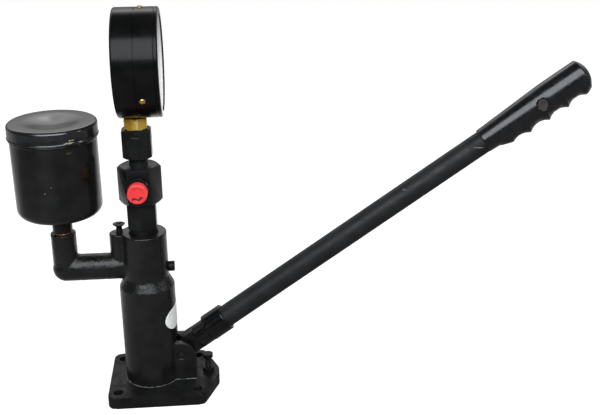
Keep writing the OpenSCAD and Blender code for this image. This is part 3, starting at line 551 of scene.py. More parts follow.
@dataclass(frozen=True)
class BodyPaint(Finish):
    """Paint over the pump body: rough on the arm and shoulder, fine on the column."""

    arm: Span = (-27.0, -22.0)
    column_top: Span = (111.0, 115.0)
    head_foot: Span = (123.0, 127.0)
    fine_share: float = 0.15

    def step(self, w: Weaver, value: Feed, span: Span) -> bpy.types.NodeSocket:
        """Gives a smooth step over a span in millimetres."""
        return w.ramp(value, span[0] * MM, span[1] * MM)

    def zoned(self, w: Weaver, vector: Feed, height: Feed) -> Feed:
        """Keeps the full grain on the raw casting only.

        Args:
            w: Weaver on the material.
            vector: Object coordinates.
            height: Height of the grain.

        Returns:
            The height that is left.
        """
        split = w.add("ShaderNodeSeparateXYZ", {0: vector})
        arm = w.maths("SUBTRACT", 1.0, self.step(w, split.outputs["X"], self.arm))
        up = split.outputs["Z"]
        column, head = self.step(w, up, self.column_top), self.step(w, up, self.head_foot)
        raw = w.maths("MAXIMUM", arm, w.maths("SUBTRACT", column, head))
        coarse = w.maths("MULTIPLY", raw, 1.0 - self.fine_share)
        share = w.maths("ADD", coarse, self.fine_share)
        return w.maths("MULTIPLY", height, share)

    def turned_zone(self, w: Weaver, vector: Feed, height: Feed) -> Feed:
        """Keeps the turning marks to the upper cylinder.

        Args:
            w: Weaver on the material.
            vector: Object coordinates.
            height: Height of the turning marks.

        Returns:
            The height that is left.
        """
        split = w.add("ShaderNodeSeparateXYZ", {0: vector})
        head = self.step(w, split.outputs["Z"], self.head_foot)
        zone = w.maths("MULTIPLY", head, self.step(w, split.outputs["X"], self.arm))
        return w.maths("MULTIPLY", height, zone)


@dataclass(frozen=True)
class ClearGlass(Finish):
    """Flat window glass."""

    refraction: float = 1.5

    def extra(self, shader: bpy.types.Node) -> None:
        """Makes the shader transmit light."""
        shader.inputs["Transmission Weight"].default_value = 1.0
        shader.inputs["IOR"].default_value = self.refraction


@dataclass(frozen=True)
class SoftPlastic(Finish):
    """Moulded plastic that lets a little light in. The depth is metres."""

    glow: float = 0.15
    glow_depth: float = 0.002
    glow_reach: Point = (1.0, 0.25, 0.2)

    def extra(self, shader: bpy.types.Node) -> None:
        """Adds light under the surface.

        Args:
            shader: The material's Principled BSDF.
        """
        shader.inputs["Subsurface Weight"].default_value = self.glow
        shader.inputs["Subsurface Scale"].default_value = self.glow_depth
        shader.inputs["Subsurface Radius"].default_value = self.glow_reach


PALE_CHIP = tint(0.42, 0.40, 0.37)
CREAM_SPOT = tint(0.3, 0.27, 0.19)
BROWN_STAIN = tint(0.019, 0.011, 0.007)
DARK_RED_DOTS = tint(0.1, 0.012, 0.014)

BODY_PAINT = BodyPaint(
    "body_paint", "cast_black", tint(0.0062, 0.0061, 0.0055), tint(0.0108, 0.0106, 0.0096),
    specular=0.3, rough=0.25, rough_spread=0.06, grain_size=1.3, grain_depth=0.4, turn_pitch=0.9,
    turn_depth=0.012, wear=tint(0.04, 0.04, 0.042), speck=PALE_CHIP, speck_size=6.0,
    speck_radius=0.04, speck_amount=0.04,
)
BASE_PAINT = Finish(
    "base_paint", "cast_black", tint(0.006, 0.006, 0.0056), tint(0.011, 0.0108, 0.0102),
    specular=0.1, rough=0.36, rough_spread=0.1, grain_size=1.6, grain_depth=0.24,
    wear=tint(0.04, 0.04, 0.042), speck=PALE_CHIP, speck_size=7.0, speck_radius=0.05,
    speck_amount=0.04,
)
# Pale grey broken into dashes: partly chipped paint along the joint, partly a painted highlight on
# the bead's crest.
SEAM_CHIP_AND_HIGHLIGHT = Finish(
    "foot_seam_chip_and_highlight", "cast_black", tint(0.16, 0.16, 0.15), tint(0.01, 0.01, 0.01), rough=0.5,
    tone_size=4.0, grain_size=0.6, grain_depth=0.05,
)
PIN_PAINT = Finish(
    "painted_pin", "black_oxide", tint(0.009, 0.009, 0.0092), tint(0.014, 0.014, 0.0142),
    specular=0.15, rough=0.45, tone_size=4.0, grain_size=1.2, grain_depth=0.05,
    wear=tint(0.06, 0.06, 0.06), wear_size=2.0,
)
BLACK_OXIDE = Finish(
    "black_oxide_steel", "black_oxide", tint(0.007, 0.007, 0.0072), tint(0.012, 0.012, 0.0122),
    specular=0.2, rough=0.3, rough_spread=0.06, turn_pitch=0.8, turn_depth=0.004,
    wear=tint(0.07, 0.07, 0.072), wear_low=0.54, wear_high=0.68, scuff=tint(0.045, 0.045, 0.045),
    scuff_length=7.0, scuff_width=0.22, scuff_amount=0.25, scuff_turn=70.0,
    marks=(
        Mark((-0.4, -13.5, 268.0), (4.5, 3.0, 0.5), tint(0.09, 0.09, 0.09), 0.8),
    ),
)
FORGED_GLOSS = Finish(
    "forged_gloss_black", "black_oxide", tint(0.003, 0.003, 0.0032), tint(0.006, 0.0056, 0.0052),
    specular=0.3, rough=0.18, rough_spread=0.04, grain_size=4.0, grain_depth=0.02,
    wear=tint(0.03, 0.03, 0.03), speck=PALE_CHIP, speck_size=6.0, speck_radius=0.05,
    speck_amount=0.04,
)
NIPPLE_GLOSS = Finish(
    "nipple_gloss_black", "black_oxide", tint(0.006, 0.006, 0.006), tint(0.01, 0.01, 0.01),
    specular=0.22, rough=0.16, rough_spread=0.03, tone_size=5.0, turn_pitch=0.6, turn_depth=0.002,
    turn_axis=Axis.Y,
)
TUBE_PAINT = Finish(
    "charcoal_tube_paint", "tube_paint", tint(0.0105, 0.0105, 0.0108), tint(0.0155, 0.0155, 0.0158),
    specular=0.25, rough=0.5, grain_size=0.9, grain_depth=0.03, scuff=tint(0.1, 0.1, 0.097),
    scuff_length=45.0, scuff_width=0.8, scuff_amount=0.25, scuff_turn=HANDLE_TURN, speck=PALE_CHIP,
    speck_size=9.0, speck_radius=0.04, speck_amount=0.1,
    marks=(
        Mark((79.0, -9.0, 66.0), (2.6, 4.0, 1.1), tint(0.2, 0.2, 0.19), 0.8),
        Mark((324.0, -10.0, 246.0), (5.0, 4.0, 0.5), tint(0.22, 0.21, 0.2), 0.9),
        Mark((337.0, -9.0, 251.0), (1.3, 4.0, 1.3), tint(0.2, 0.2, 0.19), 0.8),
        Mark((253.0, -9.0, 205.0), (2.4, 4.0, 0.45), tint(0.15, 0.15, 0.14), 0.8),
    ),
)
GRIP_GLOSS = Finish(
    "grip_gloss_plastic", "grip_plastic", tint(0.006, 0.006, 0.0066), tint(0.01, 0.01, 0.011),
    specular=0.5, rough=0.22, rough_spread=0.05, tone_size=9.0, grain_size=2.0, grain_depth=0.003,
)
GAUGE_ENAMEL = Finish(
    "gauge_black_enamel", "gauge_enamel", tint(0.003, 0.003, 0.003), tint(0.005, 0.005, 0.005),
    specular=0.135, rough=0.21, rough_spread=0.02, turn_pitch=1.4, turn_depth=0.001,
    turn_axis=Axis.X, speck=tint(0.08, 0.08, 0.08), speck_size=8.0, speck_radius=0.03,
    speck_amount=0.04,
)
LIP_ENAMEL = Finish(
    "gauge_lip_enamel", "gauge_enamel", tint(0.006, 0.006, 0.0066), tint(0.01, 0.01, 0.011),
    rough=0.07, rough_spread=0.02, coat=0.6, turn_pitch=1.0, turn_depth=0.0004, turn_axis=Axis.X,
)
CUP_ENAMEL = Finish(
    "cup_gloss_enamel", "cup_enamel", tint(0.006, 0.006, 0.006), tint(0.0105, 0.0103, 0.0098),
    specular=0.28, rough=0.2, rough_spread=0.05, grain_size=9.0, grain_depth=0.09, speck=PALE_CHIP,
    speck_size=8.0, speck_radius=0.035, speck_amount=0.04,
    marks=(
        Mark((-45.8, -25.6, 241.0), (4.0, 5.0, 7.0), BROWN_STAIN, 5.0),
        # A painted glint high on the cup's front, in a pale brown.
        Mark((-57.8, -35.5, 262.5), (2.4, 4.0, 1.0), tint(0.06, 0.045, 0.02), 0.9),
        Mark((-82.0, -39.6, 226.4), (1.3, 3.0, 0.5), tint(0.16, 0.16, 0.15), 0.6),
        Mark((-76.0, -40.0, 232.0), (0.7, 3.0, 0.6), tint(0.14, 0.14, 0.13), 0.5),
    ),
)
LID_ENAMEL = Finish(
    "lid_enamel", "cup_enamel", tint(0.008, 0.008, 0.0085), tint(0.013, 0.013, 0.0135),
    specular=0.72, rough=0.2, rough_spread=0.04, grain_size=6.0, grain_depth=0.006,
    wear=tint(0.1, 0.1, 0.095), wear_low=0.55, wear_size=2.0, speck=PALE_CHIP, speck_size=8.0,
    speck_radius=0.035, speck_amount=0.04,
    marks=(
        # Two cream-coloured spots on the front of the lid's bead.
        Mark((-57.0, -37.1, 272.4), (5.6, 6.0, 0.9), CREAM_SPOT, 1.3),
        Mark((-55.0, -36.0, 274.6), (3.2, 5.0, 0.6), CREAM_SPOT, 1.0),
        Mark((-78.0, -41.9, 270.6), (16.0, 5.0, 0.7), tint(0.07, 0.066, 0.06), 1.4),
    ),
)
GROUND_STEEL = Finish(
    "ground_steel", "ground_steel", tint(0.6, 0.61, 0.63), tint(0.45, 0.46, 0.48), metallic=1.0,
    rough=0.24, turn_pitch=0.5,
)
SPRING_WIRE = Finish(
    "spring_wire", "spring_steel", tint(0.4, 0.41, 0.43), tint(0.28, 0.28, 0.3), metallic=1.0,
    rough=0.34, tone_size=5.0,
)
# The pale colour on its edges is partly rubbed wear and partly a painted glint, meant for the
# bright cross of the bleed screw.
BLACK_SCREW = Finish(
    "blackened_screw", "black_oxide", tint(0.004, 0.004, 0.0042), tint(0.009, 0.009, 0.0092),
    specular=0.11, rough=0.36, tone_size=3.0, grain_size=1.0, grain_depth=0.02,
    wear=tint(0.14, 0.14, 0.14), wear_low=0.58, wear_high=0.72, wear_size=1.5,
)
DUSTY_SCREW = Finish(
    "dusty_screw", "black_oxide", tint(0.028, 0.022, 0.02), tint(0.045, 0.036, 0.033), rough=0.6,
    tone_size=3.0, grain_size=0.8, grain_depth=0.03,
)
SCREW_BRASS = Finish(
    "screw_brass", "brass", tint(0.8, 0.56, 0.2), tint(0.6, 0.38, 0.12), metallic=1.0, rough=0.4,
    tone_size=2.0, grain_size=0.4, grain_depth=0.02,
)
CAP_RED = SoftPlastic(
    "cap_red_plastic", "red_plastic", tint(0.95, 0.05, 0.05), tint(0.86, 0.04, 0.042), rough=0.38,
    tone_size=6.0, grain_size=0.8, grain_depth=0.02, wear=tint(0.95, 0.2, 0.18), wear_low=0.56,
    marks=(
        # A row of small darker dots low on the cap's face.
        Mark((-3.2, -38.0, 217.2), (2.6, 3.0, 1.6), DARK_RED_DOTS, 0.8),
        Mark((0.6, -38.0, 216.4), (3.0, 3.0, 1.5), DARK_RED_DOTS, 0.7),
        Mark((3.4, -38.0, 218.2), (2.0, 3.0, 1.6), DARK_RED_DOTS, 0.8),
    ),
)
COPPER = Finish(
    "annealed_copper", "copper", tint(0.8, 0.36, 0.22), tint(0.55, 0.22, 0.13), metallic=1.0,
    rough=0.4, tone_size=3.0,
)
BRASS = Finish(
    "turned_brass", "brass", tint(0.84, 0.57, 0.12), tint(0.72, 0.46, 0.08), metallic=0.5,
    rough=0.36, rough_spread=0.08, tone_size=5.0, turn_pitch=0.5, turn_depth=0.01,
    scuff=tint(0.9, 0.72, 0.4), scuff_length=6.0, scuff_width=0.3, scuff_amount=0.4,
)
STEM_BRASS = Finish(
    "stem_brass_painted_light", "brass", tint(0.86, 0.56, 0.08), tint(0.78, 0.48, 0.06), metallic=0.35,
    rough=0.3, rough_spread=0.04, tone_size=9.0,
    # Painted light: a painted highlight down the corner toward the user, painted shade on the facet
    # left of it, and a painted highlight along the stem's lower chamfer.
    marks=(
        Mark((1.8, -11.6, 280.5), (1.4, 4.0, 9.0), tint(0.98, 0.8, 0.34), 4.0),
        Mark((-6.5, -9.0, 279.0), (4.6, 5.0, 9.0), tint(0.62, 0.36, 0.04), 5.0),
        Mark((0.0, -11.0, 274.6), (9.0, 6.0, 0.9), tint(0.96, 0.76, 0.3), 3.0),
    ),
)
RUBBER = Finish(
    "moulded_rubber", "black_rubber", tint(0.012, 0.012, 0.012), tint(0.02, 0.02, 0.02), rough=0.7,
    grain_size=0.6, grain_depth=0.02,
)
GLASS = ClearGlass(
    "gauge_window", "clear_glass", tint(0.97, 0.985, 0.98), tint(0.94, 0.96, 0.95), rough=0.04,
    rough_spread=0.02, tone_size=20.0,
)
DIAL_WHITE = Finish(
    "dial_white_enamel", "dial_white", tint(0.86, 0.86, 0.84), tint(0.8, 0.8, 0.77), rough=0.45,
    tone_size=12.0, grain_size=0.5, grain_depth=0.004,
)
MARK_BLACK = Finish(
    "mark_black_ink", "pointer_black", tint(0.012, 0.012, 0.012), tint(0.02, 0.02, 0.02), rough=0.6,
    tone_size=3.0,
)
LABEL_PAPER = Finish(
    "blank_label", "label_paper", tint(0.95, 0.94, 0.92), tint(0.9, 0.89, 0.86), rough=0.4,
    tone_size=7.0, grain_size=0.5, grain_depth=0.006,
)


@dataclass
class Paints:
    """Keeps one material for each finish."""

    made: dict[str, bpy.types.Material] = field(default_factory=dict)

    def get(self, finish: Finish) -> bpy.types.Material:
        """Gives a finish's material, making it on first use.

        Args:
            finish: Finish to look up.

        Returns:
            Its material.
        """
        if finish.name not in self.made:
            self.made[finish.name] = finish.make()
        return self.made[finish.name]


PAINTS = Paints()


class Bench:
    """Modelling moves on the active object. Lengths are millimetres.

    The steps are faces round the axis of a turned piece.
    """

    MERGE_REACH: float = 0.002
    FLAT_ANGLE: float = 1.0
    CREST: Span = (0.4, 0.6)
    SCREW_STEPS: int = 40
    BORE_STEPS: int = 48
    PIN_STEPS: int = 64
    SHELL_STEPS: int = 160

    @staticmethod
    def clear() -> None:
        """Leaves edit mode and deselects everything."""
        if bpy.context.mode != "OBJECT":
            bpy.ops.object.mode_set(mode="OBJECT")
        bpy.ops.object.select_all(action="DESELECT")

    @staticmethod
    def only(piece: bpy.types.Object) -> None:
        """Selects one object alone and makes it active.

        Args:
            piece: Object to select.
        """
        Bench.clear()
        piece.select_set(True)
        bpy.context.view_layer.objects.active = piece

    @staticmethod
    def start(name: str) -> bpy.types.Object:
        """Names the primitive that was just added.

        Args:
            name: Name of the piece.

        Returns:
            The piece.
        """
        piece = bpy.context.view_layer.objects.active
        piece.name = piece.data.name = name
        return piece

    @staticmethod
    def edit() -> None:
        """Goes into edit mode with everything selected."""
        bpy.ops.object.mode_set(mode="EDIT")
        bpy.ops.mesh.select_all(action="SELECT")

    @staticmethod
    def leave() -> None:
        """Goes back to object mode."""
        bpy.ops.object.mode_set(mode="OBJECT")

    @staticmethod
    def merge(piece: bpy.types.Object) -> None:
        """Merges doubles.

        Args:
            piece: Piece to merge.
        """
        Bench.only(piece)
        Bench.edit()
        bpy.ops.mesh.remove_doubles(threshold=Bench.MERGE_REACH * MM)
        Bench.leave()

    @staticmethod
    def close(piece: bpy.types.Object) -> None:
        """Merges doubles and points the faces outwards.

        Args:
            piece: Piece to close.
        """
        Bench.merge(piece)
        Bench.edit()
        bpy.ops.mesh.normals_make_consistent(inside=False)
        Bench.leave()

    @staticmethod
    def lathe(name: str, profile: Profile, steps: int = 96) -> bpy.types.Object:
        """Turns a profile round Z.

        Args:
            name: Name of the new piece.
            profile: Radius and height of each point, in order. A profile that comes back to its
                start makes a ring, and one that starts and ends on the axis makes a solid.
            steps: Faces round the axis.

        Returns:
            The turned piece.
        """
        Bench.clear()
        bpy.ops.mesh.primitive_plane_add(size=MM)
        piece = Bench.start(name)
        Bench.edit()
        bpy.ops.mesh.merge(type="CENTER")
        points = [Vector((r, 0.0, z)) * MM for r, z in profile]
        bpy.ops.transform.translate(value=points[0])
        for before, after in zip(points, points[1:]):
            move = {"value": after - before}
            bpy.ops.mesh.extrude_vertices_move(TRANSFORM_OT_translate=move)
        bpy.ops.mesh.select_all(action="SELECT")
        bpy.ops.mesh.spin(steps=steps, angle=2 * math.pi, center=(0, 0, 0), axis=(0, 0, 1))
        Bench.leave()
        Bench.close(piece)
        return piece

    @staticmethod
    def prism(name: str, sides: int, radius: float, low: float, high: float) -> bpy.types.Object:
        """Adds an upright prism between two heights, with a corner toward +Y.

        Args:
            name: Name of the new piece.
            sides: Number of sides.
            radius: Radius to the corners.
            low: Height of its foot.
            high: Height of its top.

        Returns:
            The prism.
        """
        Bench.clear()
        bpy.ops.mesh.primitive_cylinder_add(
            vertices=sides, radius=radius * MM, depth=(high - low) * MM,
            location=(0, 0, (low + high) / 2 * MM),
        )
        piece = Bench.start(name)
        Bench.place(piece, Matrix.Identity(4), keep=True)
        return piece

    @staticmethod
    def block(name: str, low: Sequence[float], high: Sequence[float]) -> bpy.types.Object:
        """Adds a box between two corners.

        Args:
            name: Name of the new piece.
            low: Lowest corner.
            high: Highest corner.

        Returns:
            The box.
        """
        Bench.clear()
        middle = [(a + b) / 2 * MM for a, b in zip(low, high)]
        bpy.ops.mesh.primitive_cube_add(size=1.0, location=middle)
        piece = Bench.start(name)
        piece.scale = [(b - a) * MM for a, b in zip(low, high)]
        Bench.place(piece, Matrix.Identity(4), keep=True)
        return piece

    @staticmethod
    def pick(piece: bpy.types.Object, test: Callable[[Vector], bool]) -> None:
        """Goes into edit mode with only the vertices that pass a test selected.

        Args:
            piece: Piece to edit.
            test: Which points, in metres, are selected.
        """
        Bench.only(piece)
        bpy.ops.object.mode_set(mode="EDIT")
        bpy.ops.mesh.select_mode(type="VERT")
        bpy.ops.mesh.select_all(action="DESELECT")
        Bench.leave()
        for vertex in piece.data.vertices:
            vertex.select = test(vertex.co)
        bpy.ops.object.mode_set(mode="EDIT")

    @staticmethod
    def place(piece: bpy.types.Object, matrix: Matrix, keep: bool = False) -> None:
        """Moves a piece and puts its place into its mesh.

        Args:
            piece: Piece to move.
            matrix: Turn and move, in metres.
            keep: Whether the piece's present place comes first.
        """
        Bench.only(piece)
        piece.matrix_world = matrix @ piece.matrix_world if keep else matrix
        bpy.ops.object.transform_apply(location=True, rotation=True, scale=True)

    @staticmethod
    def modify(piece: bpy.types.Object, kind: str, **settings: object) -> None:
        """Adds a modifier, sets it and applies it.

        Args:
            piece: Piece to change.
            kind: Blender's name of the modifier type.
            settings: Properties of the modifier.
        """
        Bench.only(piece)
        modifier = piece.modifiers.new(kind.lower(), kind)
        for key, value in settings.items():
            setattr(modifier, key, value)
        bpy.ops.object.modifier_apply(modifier=modifier.name)

    @staticmethod
    def combine(piece: bpy.types.Object, tool: bpy.types.Object, operation: str) -> None:
        """Adds, cuts or keeps the common part of a tool, and removes the tool."""
        Bench.modify(piece, "BOOLEAN", object=tool, operation=operation, solver="EXACT")
        bpy.data.objects.remove(tool)

    @staticmethod
    def bevel(
        piece: bpy.types.Object, width: float, segments: int = 2, angle: float = 25.0
    ) -> None:
        """Rounds the edges sharper than an angle in degrees.

        Args:
            piece: Piece to change.
            width: Width of the rounding.
            segments: Faces across the rounding.
            angle: Smallest angle that is rounded.
        """
        Bench.modify(
            piece, "BEVEL", width=width * MM, segments=segments, limit_method="ANGLE",
            angle_limit=math.radians(angle), use_clamp_overlap=True,
        )

    @staticmethod
    def copy_of(node: str, name: str) -> bpy.types.Object:
        """Copies a solid's mesh into a new piece and merges it.

        Args:
            node: Solid to copy.
            name: Name of the new piece.

        Returns:
            The copy.
        """
        piece = bpy.data.objects.new(name, frame["nodes"][node].data.copy())
        bpy.context.scene.collection.objects.link(piece)
        Bench.merge(piece)
        return piece

    @staticmethod
    def cast_copy(
        node: str, name: str, voxel: float, passes: int, lie: Matrix = Matrix.Identity(4)
    ) -> bpy.types.Object:
        """Copies a solid with the soft edges of a casting or moulding.

        Args:
            node: Solid to copy.
            name: Name of the new piece.
            voxel: Mesh size.
            passes: Smoothing passes.
            lie: Frame that the mesh's grid lies in.

        Returns:
            The softened piece.
        """
        piece = Bench.copy_of(node, name)
        Bench.place(piece, lie.inverted())
        Bench.modify(piece, "REMESH", mode="VOXEL", voxel_size=voxel * MM, use_smooth_shade=True)
        Bench.modify(piece, "SMOOTH", factor=0.5, iterations=passes)
        Bench.place(piece, lie)
        return piece

    @staticmethod
    def roughen(
        piece: bpy.types.Object, depth: float, size: float, test: Callable[[Vector], bool]
    ) -> None:
        """Raises the lumps of a sand casting where a point in millimetres passes a test.

        Args:
            piece: Piece with a fine even mesh.
            depth: Height of the lumps.
            size: Width of the lumps.
            test: Which points are rough.
        """
        group = Bench.group(piece, "raw_casting", test)
        lumps = bpy.data.textures.new("casting_lumps", "CLOUDS")
        lumps.noise_scale, lumps.noise_depth = size * MM, 2
        Bench.modify(
            piece, "DISPLACE", texture=lumps, strength=depth * MM, mid_level=0.5,
            texture_coords="LOCAL", vertex_group=group,
        )

    @staticmethod
    def group(piece: bpy.types.Object, name: str, test: Callable[[Vector], bool]) -> str:
        """Names the points, in millimetres, that pass a test.

        Args:
            piece: Piece with the points.
            name: Name of the group.
            test: Which points are in it.

        Returns:
            The group's name.
        """
        group = piece.vertex_groups.new(name=name)
        group.add([v.index for v in piece.data.vertices if test(v.co / MM)], 1.0, "REPLACE")
        return group.name

    @staticmethod
    def soften(piece: bpy.types.Object, passes: int, test: Callable[[Vector], bool]) -> None:
        """Smooths the points, in millimetres, that pass a test."""
        group = Bench.group(piece, "blended", test)
        Bench.modify(piece, "SMOOTH", factor=0.5, iterations=passes, vertex_group=group)

    @staticmethod
    def soft_edges(node: str, name: str, width: float, angle: float = 20.0) -> bpy.types.Object:
        """Copies a solid, joins its flat faces and rounds its sharp edges.

        Args:
            node: Solid to copy.
            name: Name of the new piece.
            width: Width of the rounding.
            angle: Smallest angle that is rounded, in degrees.

        Returns:
            The rounded copy.
        """
        piece = Bench.copy_of(node, name)
        Bench.edit()
        bpy.ops.mesh.dissolve_limited(angle_limit=math.radians(Bench.FLAT_ANGLE))
        Bench.leave()
        Bench.bevel(piece, width, angle=angle)
        return piece

    @staticmethod
    def thread(radius: float, deep: float, low: float, high: float, pitch: float) -> Profile:
        """Gives the outer profile of a threaded rod, as rings.

        Args:
            radius: Outer radius.
            deep: Depth of the thread.
            low: Height of its foot.
            high: Height of its top.
            pitch: Height of one ring.

        Returns:
            The profile's points.
        """
        turns = max(1, round((high - low) / pitch))
        step = (high - low) / turns
        points = [(radius - deep, low)]
        for i in range(turns):
            z = low + i * step
            points += [(radius, z + share * step) for share in Bench.CREST]
            points.append((radius - deep, z + step))
        return points

    @staticmethod
    def join(name: str, parts: Sequence[bpy.types.Object]) -> bpy.types.Object:
        """Joins pieces into one mesh under a name.

        Args:
            name: Name of the joined piece.
            parts: Pieces to join.

        Returns:
            The joined piece.
        """
        Bench.only(parts[0])
        for part in parts[1:]:
            part.select_set(True)
        bpy.ops.object.join()
        return Bench.start(name)

    @staticmethod
    def shade(piece: bpy.types.Object, angle: float = 30.0) -> None:
        """Shades a piece smooth below an angle in degrees."""
        Bench.only(piece)
        bpy.ops.object.shade_smooth_by_angle(angle=math.radians(angle))

    @staticmethod
    def arc(
        centre: tuple[float, float], radius: float, first: float, last: float, steps: int = 6
    ) -> list[tuple[float, float]]:
        """Gives profile points on an arc between two angles in degrees.

        Args:
            centre: Radius and height of the arc's centre.
            radius: Radius of the arc.
            first: First angle.
            last: Last angle.
            steps: Number of chords.

        Returns:
            The points in order.
        """
        angles = [math.radians(first + (last - first) * i / steps) for i in range(steps + 1)]
        x, y = centre
        return [(x + radius * math.cos(a), y + radius * math.sin(a)) for a in angles]


class Assembly:
    """Part of the tester: builds its pieces and dresses its solids."""

    def build(self) -> None:
        """Models the pieces that replace or join solids."""

    def dress(self) -> None:
        """Gives the kept solids their finishes."""

    @staticmethod
    def paint(finish: Finish, *nodes: str) -> None:
        """Gives solids a finish.

        Args:
            finish: Finish to give.
            nodes: Solids to dress.
        """
        material = PAINTS.get(finish)
        for name in nodes:
            mesh = frame["nodes"][name].data
            mesh.materials.clear()
            mesh.materials.append(material)
            LOG.info("solid %s: %s", name, finish.name)

    def hand_in(
        self,
        piece: bpy.types.Object,
        finish: Finish,
        *replaced: str,
        body: str | None = None,
        angle: float = 30.0,
    ) -> bpy.types.Object:
        """Finishes a new piece.

        Args:
            piece: Piece in its place.
            finish: Its finish.
            replaced: Solids that it stands for.
            body: Body that it rides on, when it replaces no solid.
            angle: Sharpest edge that is shaded smooth, in degrees.

        Returns:
            The piece.
        """
        Bench.shade(piece, angle)
        piece.data.materials.clear()
        piece.data.materials.append(PAINTS.get(finish))
        body = body or BODY_OF[replaced[0]]
        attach(piece, body)
        if replaced:
            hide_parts(*replaced)
        LOG.info("piece %s: %s on %s", piece.name, finish.name, body)
        return piece


@dataclass
class HexFitting:
    """Hexagon fitting with turned corners, collars and bores on Z."""

    name: str
    across_flats: float
    low: float
    high: float
    turn: float = 0.0
    collars: Sequence[Rod] = ()
    bores: Sequence[Rod] = ()
    cutters: Sequence[bpy.types.Object] = ()
    edge: float = 0.35
    edge_angle: float = 20.0
    face: float = 0.48
    rake: float = 30.0

    def make(self) -> bpy.types.Object:
        """Models the fitting.

        Returns:
            The fitting, upright on Z.
        """
        corner = self.across_flats / math.sqrt(3)
        face = self.across_flats * self.face
        reach = corner + 1
        fall = (reach - face) * math.tan(math.radians(self.rake))
        piece = Bench.prism(self.name, 6, corner, self.low, self.high)
        blank = Bench.lathe("blank", [
            (0, self.low), (face, self.low), (reach, self.low + fall), (reach, self.high - fall),
            (face, self.high), (0, self.high),
        ])
        Bench.combine(piece, blank, "INTERSECT")
        Bench.place(piece, Matrix.Rotation(math.radians(self.turn), 4, "Z"))
        for collar in self.collars:
            Bench.combine(piece, Bench.lathe("collar", self.rod(*collar)), "UNION")
        for bore in self.bores:
            drill = Bench.lathe("bore", self.rod(*bore), Bench.BORE_STEPS)
            Bench.combine(piece, drill, "DIFFERENCE")
        for cutter in self.cutters:
            Bench.combine(piece, cutter, "DIFFERENCE")
        Bench.close(piece)
        Bench.bevel(piece, self.edge, angle=self.edge_angle)
        return piece

    @staticmethod
    def rod(radius: float, low: float, high: float) -> Profile:
        """Gives the profile of a plain rod."""
        return [(0, low), (radius, low), (radius, high), (0, high)]


